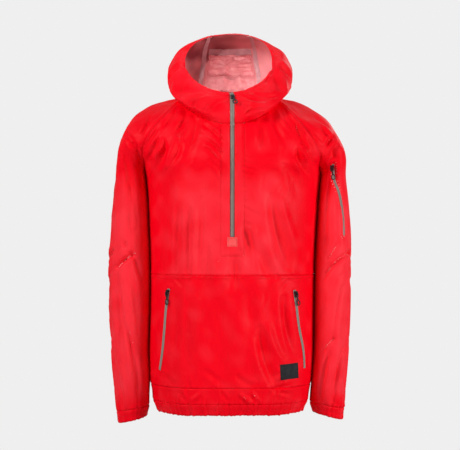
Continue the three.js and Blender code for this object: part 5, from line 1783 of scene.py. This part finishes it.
@dataclass
class Hood:
    """The hood's two sides and centre panel, with what shows inside it."""

    net: Net
    folds: Folds
    finishes: Finishes
    hem: float = 9.0  # depth of the folded hem round the face opening
    patches: dict[str, Patch] = field(default_factory=dict)

    def build(self) -> None:
        """Makes the three panels, the lining pieces and the stitching."""
        surface = self.net.hood
        stops = [float(level) for level in range(BRIM_ROW + 1)]
        levels = fine_levels(surface, stops, range(NECK_COLUMNS))
        half = ZIP_WIDTH / 2 * MM
        front_x = surface.at(np.zeros((len(levels), 1)), levels)[:, 0, 0]
        slit = {
            "left": surface.across_at_x(levels, front_x + half, 0, 0.9),
            "right": -surface.across_at_x(levels, front_x - half, -0.9, 0),
        }
        lines = [float(line) for line in range(1, SIDE_SEAM + 1)]
        for name, area in (("left", 0.0514), ("right", 0.0462)):
            sign = 1 if name == "left" else -1
            probe = [sign * line for line in (0.2, *lines)]
            lengths = column_lengths(surface, probe, thinned(levels, 16))
            base = np.array(fine_stations([0.0, *lines], lengths))[None]
            start = slit[name][:, None]
            columns = np.where(base < 1, start + base * (1 - start), base * np.ones_like(start))
            if name == "right":
                columns = -columns[:, ::-1]
            self._make(f"hood_side_{name}", columns, levels, Cut((0.31, 0.235), area))
        ends = [float(SIDE_SEAM), 8.0, float(NECK_COLUMNS - SIDE_SEAM)]
        columns = fine_columns(surface, ends, levels, 16)
        self._make("hood_centre", columns, levels, Cut((0.16, 0.235), 0.0312))
        self._lining()
        self._stitch()

    def _shift(self, points: Array, normals: Array, levels: Array) -> Array:
        """The folds of the hood, calm at the neck seam and firm along the brim."""
        shift = self.folds.shift(points, normals)
        from_neck = smooth_step(levels / 0.5)[:, None]
        from_brim = 0.35 + 0.65 * smooth_step((BRIM_ROW - levels) / 0.5)[:, None]
        return shift * from_neck * from_brim

    def _make(self, name: str, columns: Array, levels: Array, cut: Cut) -> None:
        """Makes one panel of the hood."""
        points, normals = self.net.hood.sample(columns, levels)
        patch = Patch(points, normals)
        shift = self._shift(points, normals, levels)
        to_brim = patch.reach(Edge.TOP) / MM
        shift += (0.7 * smooth_step((self.hem - to_brim) / 2) - 0.6 * bell(to_brim, self.hem, 1.4)) * MM
        shift += pucker(points, np.abs(to_brim - self.hem) * MM, 0.5)
        shift += seam_groove(patch.reach(Edge.FOOT), meets=True)
        for edge in (Edge.START, Edge.END):
            shift += seam_groove(patch.reach(edge))
        patch.press(shift)
        # An even painted light over the hood, and painted shade in its top.
        tints = {"painted_light": painted_light_share(points, lambda at: 0.15 + 0 * at[..., 0]),
                 "shade": painted_light_share(points, self._painted_shade)}
        piece = shell_piece(f"shell_{name}", patch, self.finishes.shell, 0.9 * MM, tints)
        wear(piece, "red_shell", name, cut)
        self.patches[name] = patch

    @staticmethod
    def _painted_shade(points: Array) -> Array:
        """Painted shade in the deep top of the hood, darkest on the wearer's right."""
        x, z = points[..., 0] / MM, points[..., 2] / MM
        return 0.85 * smooth_step((z - 92) / 26) * smooth_step((70 - x) / 110) + 0.2 * smooth_step(
            (-70 - x) / 20)

    def _inside(
        self, name: str, columns: Sequence[float], levels: Sequence[float], depth: float,
        ripple: Callable[[Array], Array], finish: Material, slot: str, cut: Cut,
        thickness: float = 0.5 * MM,
    ) -> Patch:
        """Lays a strip on the inner face of the hood, rippled towards the inside."""
        columns, levels = np.array(columns), np.array(levels)
        grid = np.tile(columns, (len(levels), 1))
        points, normals = self.net.hood.sample(grid, levels)
        shift = self._shift(points, normals, levels) - depth - ripple(points)
        patch = Patch(points + normals * shift[..., None], normals)
        piece = shell_piece(f"lining_{name}", patch, finish, thickness)
        wear(piece, slot, name, cut)
        return patch

    def _lining(self) -> None:
        """Seam tapes, the gathered panel and the facing inside the hood."""
        pleats = SoftNoise(9 * MM, 81, stretch=(4.5, 3, 1))
        fine = SoftNoise(4.5 * MM, 82, stretch=(3, 2, 1))
        still = lambda at: 0.15 * MM * fine.at(at)
        gathered = lambda at: np.clip(1.7 + 1.7 * pleats.at(at) + 0.7 * fine.at(at), 0, 6) * MM
        for name, seam in (("left", SIDE_SEAM), ("right", NECK_COLUMNS - SIDE_SEAM)):
            self._inside(f"hood_tape_{name}", np.linspace(seam - 0.09, seam + 0.09, 9),
                         np.linspace(1, BRIM_ROW, 70), 1.3 * MM, still, self.finishes.tape,
                         "seam_tape", Cut((0.011, 0.155), 0.0017))
        across = np.linspace(SIDE_SEAM + 0.17, NECK_COLUMNS - SIDE_SEAM - 0.17, 60)
        self._inside("hood_tape_top", across, np.linspace(3.27, 3.46, 8), 1.5 * MM, still,
                     self.finishes.tape, "seam_tape", Cut((0.14, 0.011), 0.0014))
        panel = self._inside(
            "hood_gathered_panel", across, np.linspace(2.4, 3.28, 60), 2.6 * MM, gathered,
            self.finishes.pink, "pink_inside", Cut((0.15, 0.05), 0.0070))
        rows = Stitching("stitching_hood_inside")
        for edge, inset in ((Edge.TOP, 3), (Edge.FOOT, 3), (Edge.START, 4), (Edge.END, 4),
                            (Edge.TOP, 14), (Edge.TOP, 26)):
            rows.follow(panel, edge, inset, -1.0)
        rows.piece(self.finishes.thread)
        self._inside("hood_neck_facing", across, np.linspace(1.4, 2.2, 40), 2.0 * MM,
                     lambda at: 0.6 * gathered(at), self.finishes.pink, "pink_inside",
                     Cut((0.15, 0.05), 0.0065))

    def _stitch(self) -> None:
        """Topstitching round the brim and along the hood's seams."""
        stitching = Stitching("stitching_hood")
        for name in ("hood_side_left", "hood_centre", "hood_side_right"):
            stitching.follow(self.patches[name], Edge.TOP, self.hem)
            stitching.follow(self.patches[name], Edge.FOOT)
        for edge in (Edge.START, Edge.END):
            stitching.follow(self.patches["hood_centre"], edge)
        stitching.piece(self.finishes.thread)


@dataclass
class Zip:
    """A reverse coil zip: a tape with two rounded folds that meet in a line of small stitches."""

    name: str
    finishes: Finishes
    half: float = 4.5  # half the tape that shows, millimetres
    tooth: float = 1.5

    def lay(self, points: Array, normals: Array, cut: Cut, lift: float = 0.0) -> None:
        """Makes the tape along a line on the cloth.

        Args:
            points: the middle line, (n, 3), about a quarter tooth apart.
            normals: the cloth's normals along it.
            cut: the tape that shows.
            lift: height of the tape over the line, metres.
        """
        along = unit(np.gradient(points, axis=0))
        out = unit(normals - along * (normals * along).sum(axis=1, keepdims=True))
        side = np.cross(out, along)
        length = arc_length(points) / MM
        across = np.array([-1.0, -0.72, -0.56, -0.46, -0.34, -0.2, -0.07, 0, 0.07, 0.2, 0.34, 0.46,
                           0.56, 0.72, 1.0]) * self.half
        distance = np.abs(across)
        fold = 0.75 * bell(distance, 1.25, 0.75)
        grain = 0.16 * np.cos(2 * np.pi * (length[:, None] / self.tooth + distance[None] * 0.35))
        height = fold[None] * (1 + grain * 1.4) + grain * 0.35 * (distance < 3)[None]
        height[:, 7] -= 0.25
        spot = (points[:, None] + side[:, None] * across[None, :, None] * MM
                + out[:, None] * (height * MM + lift)[..., None])
        patch = Patch(spot, np.repeat(out[:, None], len(across), axis=1))
        # The darker rows are the tape's stitches; the dark middle line and edges are painted shade.
        stitch_row = bell(distance, 2.9, 0.5)[None] * (grain > 0)
        middle = bell(distance, 0, 0.45)[None] * np.ones_like(grain)
        rim = smooth_step((distance - 3.7) / 0.6)[None] * 0.8 * np.ones_like(grain)
        tints = {"groove": np.clip(stitch_row * 0.5 + middle * 0.9 + rim, 0, 1)}
        piece = shell_piece(f"tape_{self.name}", patch, self.finishes.zip_tape, 0.6 * MM, tints)
        wear(piece, "zip_tape", self.name, cut)


@dataclass
class FlatTrim:
    """A flat piece sewn on a panel, with rounded edges and a border of stitches."""

    node: str
    slot: str
    finish: Material
    thread: Material
    x: Point2
    z: Point2
    turn: float = 0.0  # degrees
    thick: float = 0.9

    def lay(self, patch: Patch) -> None:
        """Makes the piece on the cloth, with its stitches."""
        middle = np.array([sum(self.x) / 2, sum(self.z) / 2])
        size = np.array([abs(self.x[1] - self.x[0]), abs(self.z[1] - self.z[0])])
        u, v = np.meshgrid(np.linspace(-0.5, 0.5, 45), np.linspace(-0.5, 0.5, 37))
        cosine, sine = math.cos(math.radians(self.turn)), math.sin(math.radians(self.turn))
        local = np.stack([u * size[0], v * size[1]], axis=-1)
        turned = np.stack([local[..., 0] * cosine - local[..., 1] * sine,
                           local[..., 0] * sine + local[..., 1] * cosine], axis=-1)
        flat = (middle + turned) * MM
        points, normals = patch.settle(flat.reshape(-1, 2))
        points, normals = points.reshape(*u.shape, 3), normals.reshape(*u.shape, 3)
        inset = np.minimum(size[0] * (0.5 - np.abs(u)), size[1] * (0.5 - np.abs(v)))
        height = self.thick * smooth_step((inset + 0.7) / 1.2) - 0.35 * bell(inset, 2.2, 0.9)
        height += 0.25
        cloth = Patch(points + normals * (height * MM)[..., None], normals)
        piece = shell_piece(f"trim_{self.node}", cloth, self.finish, 0.8 * MM)
        area = float(np.prod(size)) * MM * MM
        wear(piece, self.slot, self.node, Cut(tuple((size * MM).tolist()), area))
        stitching = Stitching(f"stitching_{self.node}")
        for edge in Edge:
            stitching.follow(cloth, edge, lift=0.1)
        stitching.piece(self.thread)


HALF_WINDOW = 12  # points on each side that the front zip's line is averaged over


def averaged(line: Array) -> Array:
    """A line of points or normals, each averaged with its neighbours on both sides."""
    count = 2 * HALF_WINDOW + 1
    padded = np.pad(line, ((HALF_WINDOW, HALF_WINDOW), (0, 0)), mode="edge")
    return np.stack([np.convolve(padded[:, axis], np.ones(count) / count, "valid")
                     for axis in range(3)], axis=1)


class Garment:
    """The whole anorak, in the order that a maker would sew it."""

    def __init__(self) -> None:
        """Prepares the net, the finishes and the folds."""
        self.net = Net()
        self.finishes = Finishes()
        insets = [Inset(route) for route in POCKET_ZIPS.values()]
        shared = spread_out([*BODY_FOLDS, *insets])
        self.trunk = Trunk(self.net, Folds(shared), self.finishes)
        self.sleeves = {}
        for name in ARMS:
            own = spread_out([*ARM_FOLDS[name], *both_arms(name)])
            if name == "left":
                own.append(Inset(ARM_ZIP, sink=3.0))
            upper = [crease for crease in shared if self._near_arm(crease, name)]
            self.sleeves[name] = Sleeve(name, self.net, Folds([*own, *upper], 1.6 * MM), self.finishes)
        self.hood = Hood(self.net, Folds(spread_out(HOOD_FOLDS), 1.4 * MM), self.finishes)

    @staticmethod
    def _near_arm(crease: Crease | Inset, name: str) -> bool:
        """Whether a fold of the yoke runs on into a sleeve."""
        if not isinstance(crease, Crease) or crease.view not in (View.FRONT, View.BACK):
            return False
        side = ARMS[name].side
        return min(crease.end[1], crease.start[1]) > -200 and side * crease.end[0] > 100

    def build(self) -> None:
        """Makes every piece."""
        self.trunk.build()
        for sleeve in self.sleeves.values():
            sleeve.build()
        self.hood.build()
        self._zips()
        panel, upper = self.trunk.patches["front_pocket_panel"], self.trunk.patches["front_upper"]
        FlatTrim("zip_garage", "red_patch", self.finishes.patch, self.finishes.thread,
                 (-6, 16), (-311, -331)).lay(upper)
        FlatTrim("hem_label", "black_label", self.finishes.label, self.finishes.label,
                 (110, 150), (-588, -622), 3.0).lay(panel)
        self._metal()

    def _zips(self) -> None:
        """The front zip, the two hand pocket zips and the arm zip."""
        foot, step = ARMPIT - 2.0, 0.4 * MM
        front_line = self._walk(self.net.front, 2.0, foot, NECK, step)
        hood_line = self._walk(self.net.hood, 0.0, 0, BRIM_ROW, step)
        points = np.concatenate([front_line[0], hood_line[0][1:]])
        normals = np.concatenate([front_line[1], hood_line[1][1:]])
        points[HALF_WINDOW:-HALF_WINDOW] = averaged(points)[HALF_WINDOW:-HALF_WINDOW]
        front = Zip("zip_front", self.finishes, half=4.9)
        front.lay(points, unit(averaged(normals)), Cut((0.01, 0.345), 0.0034), -0.7 * MM)
        panel = self.trunk.patches["front_pocket_panel"]
        arm = self.sleeves["left"].patches["sleeve"]
        for name, route, patch in (
            ("zip_pocket_right", POCKET_ZIPS["right"], panel),
            ("zip_pocket_left", POCKET_ZIPS["left"], panel), ("zip_arm", ARM_ZIP, arm),
        ):
            curve = GuideCurve(np.array([[(x, 0, z) for x, z in route]], dtype=float) * MM)
            places = curve.at(np.linspace(0, len(route) - 1, 430)[None])[0][::-1, (0, 2)]
            points, normals = patch.settle(places)
            length = float(np.linalg.norm(np.diff(points, axis=0), axis=1).sum())
            Zip(name, self.finishes, half=3.7).lay(
                points, normals, Cut((0.01, length), 0.0088 * length), 0.9 * MM)

    @staticmethod
    def _walk(
        surface: Surface, across: float, start: float, stop: float, step: float,
    ) -> tuple[Array, Array]:
        """Points and normals up a line of a surface, evenly spaced."""
        probes = 600
        ups = np.linspace(start, stop, probes)
        line = surface.at(np.full((probes, 1), across), ups)[:, 0]
        length = arc_length(line)
        even = np.interp(np.arange(0, length[-1], step), length, ups)
        points, normals = surface.sample(np.full((len(even), 1), across), even)
        return points[:, 0], normals[:, 0]

    def _metal(self) -> None:
        """Gives the sliders and pulls their enamel."""
        for name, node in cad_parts.items():
            if name.startswith(("slider_", "pull_")):
                for slot in node.material_slots:
                    slot.material = self.finishes.enamel


# ---- Studio ----
CHEST = (0, 0, -0.25)  # what the lamps look at
SENSOR = 36  # width of the camera's sensor, millimetres


@dataclass(frozen=True)
class Studio:
    """A pale floor, an even pale surround, soft lamps and a level camera in front."""

    distance: float = 3.4
    eye: float = -0.284
    view_width: float = 1.0442
    floor: float = -0.80
    paleness: float = 0.863
    dimness: float = 0.3

    def build(self) -> None:
        """Makes floor, light and camera."""
        scene = bpy.context.scene
        scene.view_settings.view_transform = "Standard"
        self._surround()
        self._floor()
        for name, place, size, power in (
            ("key", (-2.0, -1.9, 1.0), 0.9, 57), ("fill", (2.3, -1.6, -0.1), 0.9, 44),
            ("top", (0.2, 0.9, 2.0), 1.2, 9), ("rear", (1.5, 2.3, 0.9), 1.0, 11),
        ):
            data = bpy.data.lights.new(name, "AREA")
            data.shape, data.size, data.energy = "SQUARE", size, power
            self._hang(data, place, CHEST)
        self._hood_lamp()
        camera = bpy.data.objects.new("camera", bpy.data.cameras.new("camera"))
        camera.location = (0, -self.distance, self.eye)
        camera.rotation_euler = (math.pi / 2, 0, 0)
        camera.data.sensor_width = SENSOR
        camera.data.lens = SENSOR * self.distance / self.view_width
        scene.collection.objects.link(camera)
        scene.camera = camera

    def _surround(self) -> None:
        """A surround that looks pale and gives only a dim light of its own."""
        world = bpy.data.worlds.new("pale_surround")
        world.use_nodes = True
        tree = world.node_tree
        background = tree.nodes["Background"]
        background.inputs["Color"].default_value = (1, 1, 1, 1)
        rays = tree.nodes.new("ShaderNodeLightPath")
        range_node = tree.nodes.new("ShaderNodeMapRange")
        range_node.inputs["To Min"].default_value = self.dimness
        range_node.inputs["To Max"].default_value = self.paleness
        tree.links.new(rays.outputs["Is Camera Ray"], range_node.inputs["Value"])
        tree.links.new(range_node.outputs["Result"], background.inputs["Strength"])
        bpy.context.scene.world = world

    def _floor(self) -> None:
        """A wide pale floor that meets the surround without a line."""
        bpy.ops.object.select_all(action="DESELECT")
        bpy.ops.mesh.primitive_plane_add(size=60, location=(0, 0, self.floor))
        floor = bpy.context.object
        floor.name = "floor"
        graph = MaterialGraph("pale_floor")
        glow = graph.node("ShaderNodeEmission", {}, {"Color": (*[self.paleness] * 3, 1)})
        matt = graph.node("ShaderNodeBsdfDiffuse", {}, {"Color": (0.6, 0.6, 0.6, 1)})
        rays = graph.node("ShaderNodeLightPath", {}, {})
        share = rays.outputs["Is Camera Ray"]
        both = graph.node("ShaderNodeMixShader", {}, {0: share, 1: matt.outputs[0], 2: glow.outputs[0]})
        graph.node("ShaderNodeOutputMaterial", {}, {"Surface": both.outputs[0]})
        floor.data.materials.append(graph.material)
        floor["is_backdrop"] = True

    def _hood_lamp(self) -> None:
        """A narrow lamp that reaches into the hood."""
        data = bpy.data.lights.new("hood_lamp", "SPOT")
        data.energy, data.spot_size, data.spot_blend = 120, math.radians(6.5), 0.8
        data.shadow_soft_size = 0.06
        self._hang(data, (-0.42, -1.9, 0.56), (0.01, 0.08, 0.06))

    @staticmethod
    def _hang(data: bpy.types.Light, place: Sequence[float], target: Sequence[float]) -> None:
        """Puts a lamp at a place, turned to a target."""
        lamp = bpy.data.objects.new(data.name, data)
        lamp.location = place
        aim = np.array(target) - np.array(lamp.location)
        pitch = math.acos(-aim[2] / float(np.linalg.norm(aim)))
        lamp.rotation_euler = (pitch, 0, math.atan2(aim[1], aim[0]) - math.pi / 2)
        bpy.context.scene.collection.objects.link(lamp)


def main() -> None:
    """Builds the garment and the studio."""
    logging.basicConfig(level=logging.INFO, format="%(name)s: %(message)s")
    Garment().build()
    Studio().build()
    boxes = {"cad": CAD_BOX, "visual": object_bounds()}
    {name: [list(corner) for corner in box] for name, box in boxes.items()}


if __name__ == "__main__":
    main()
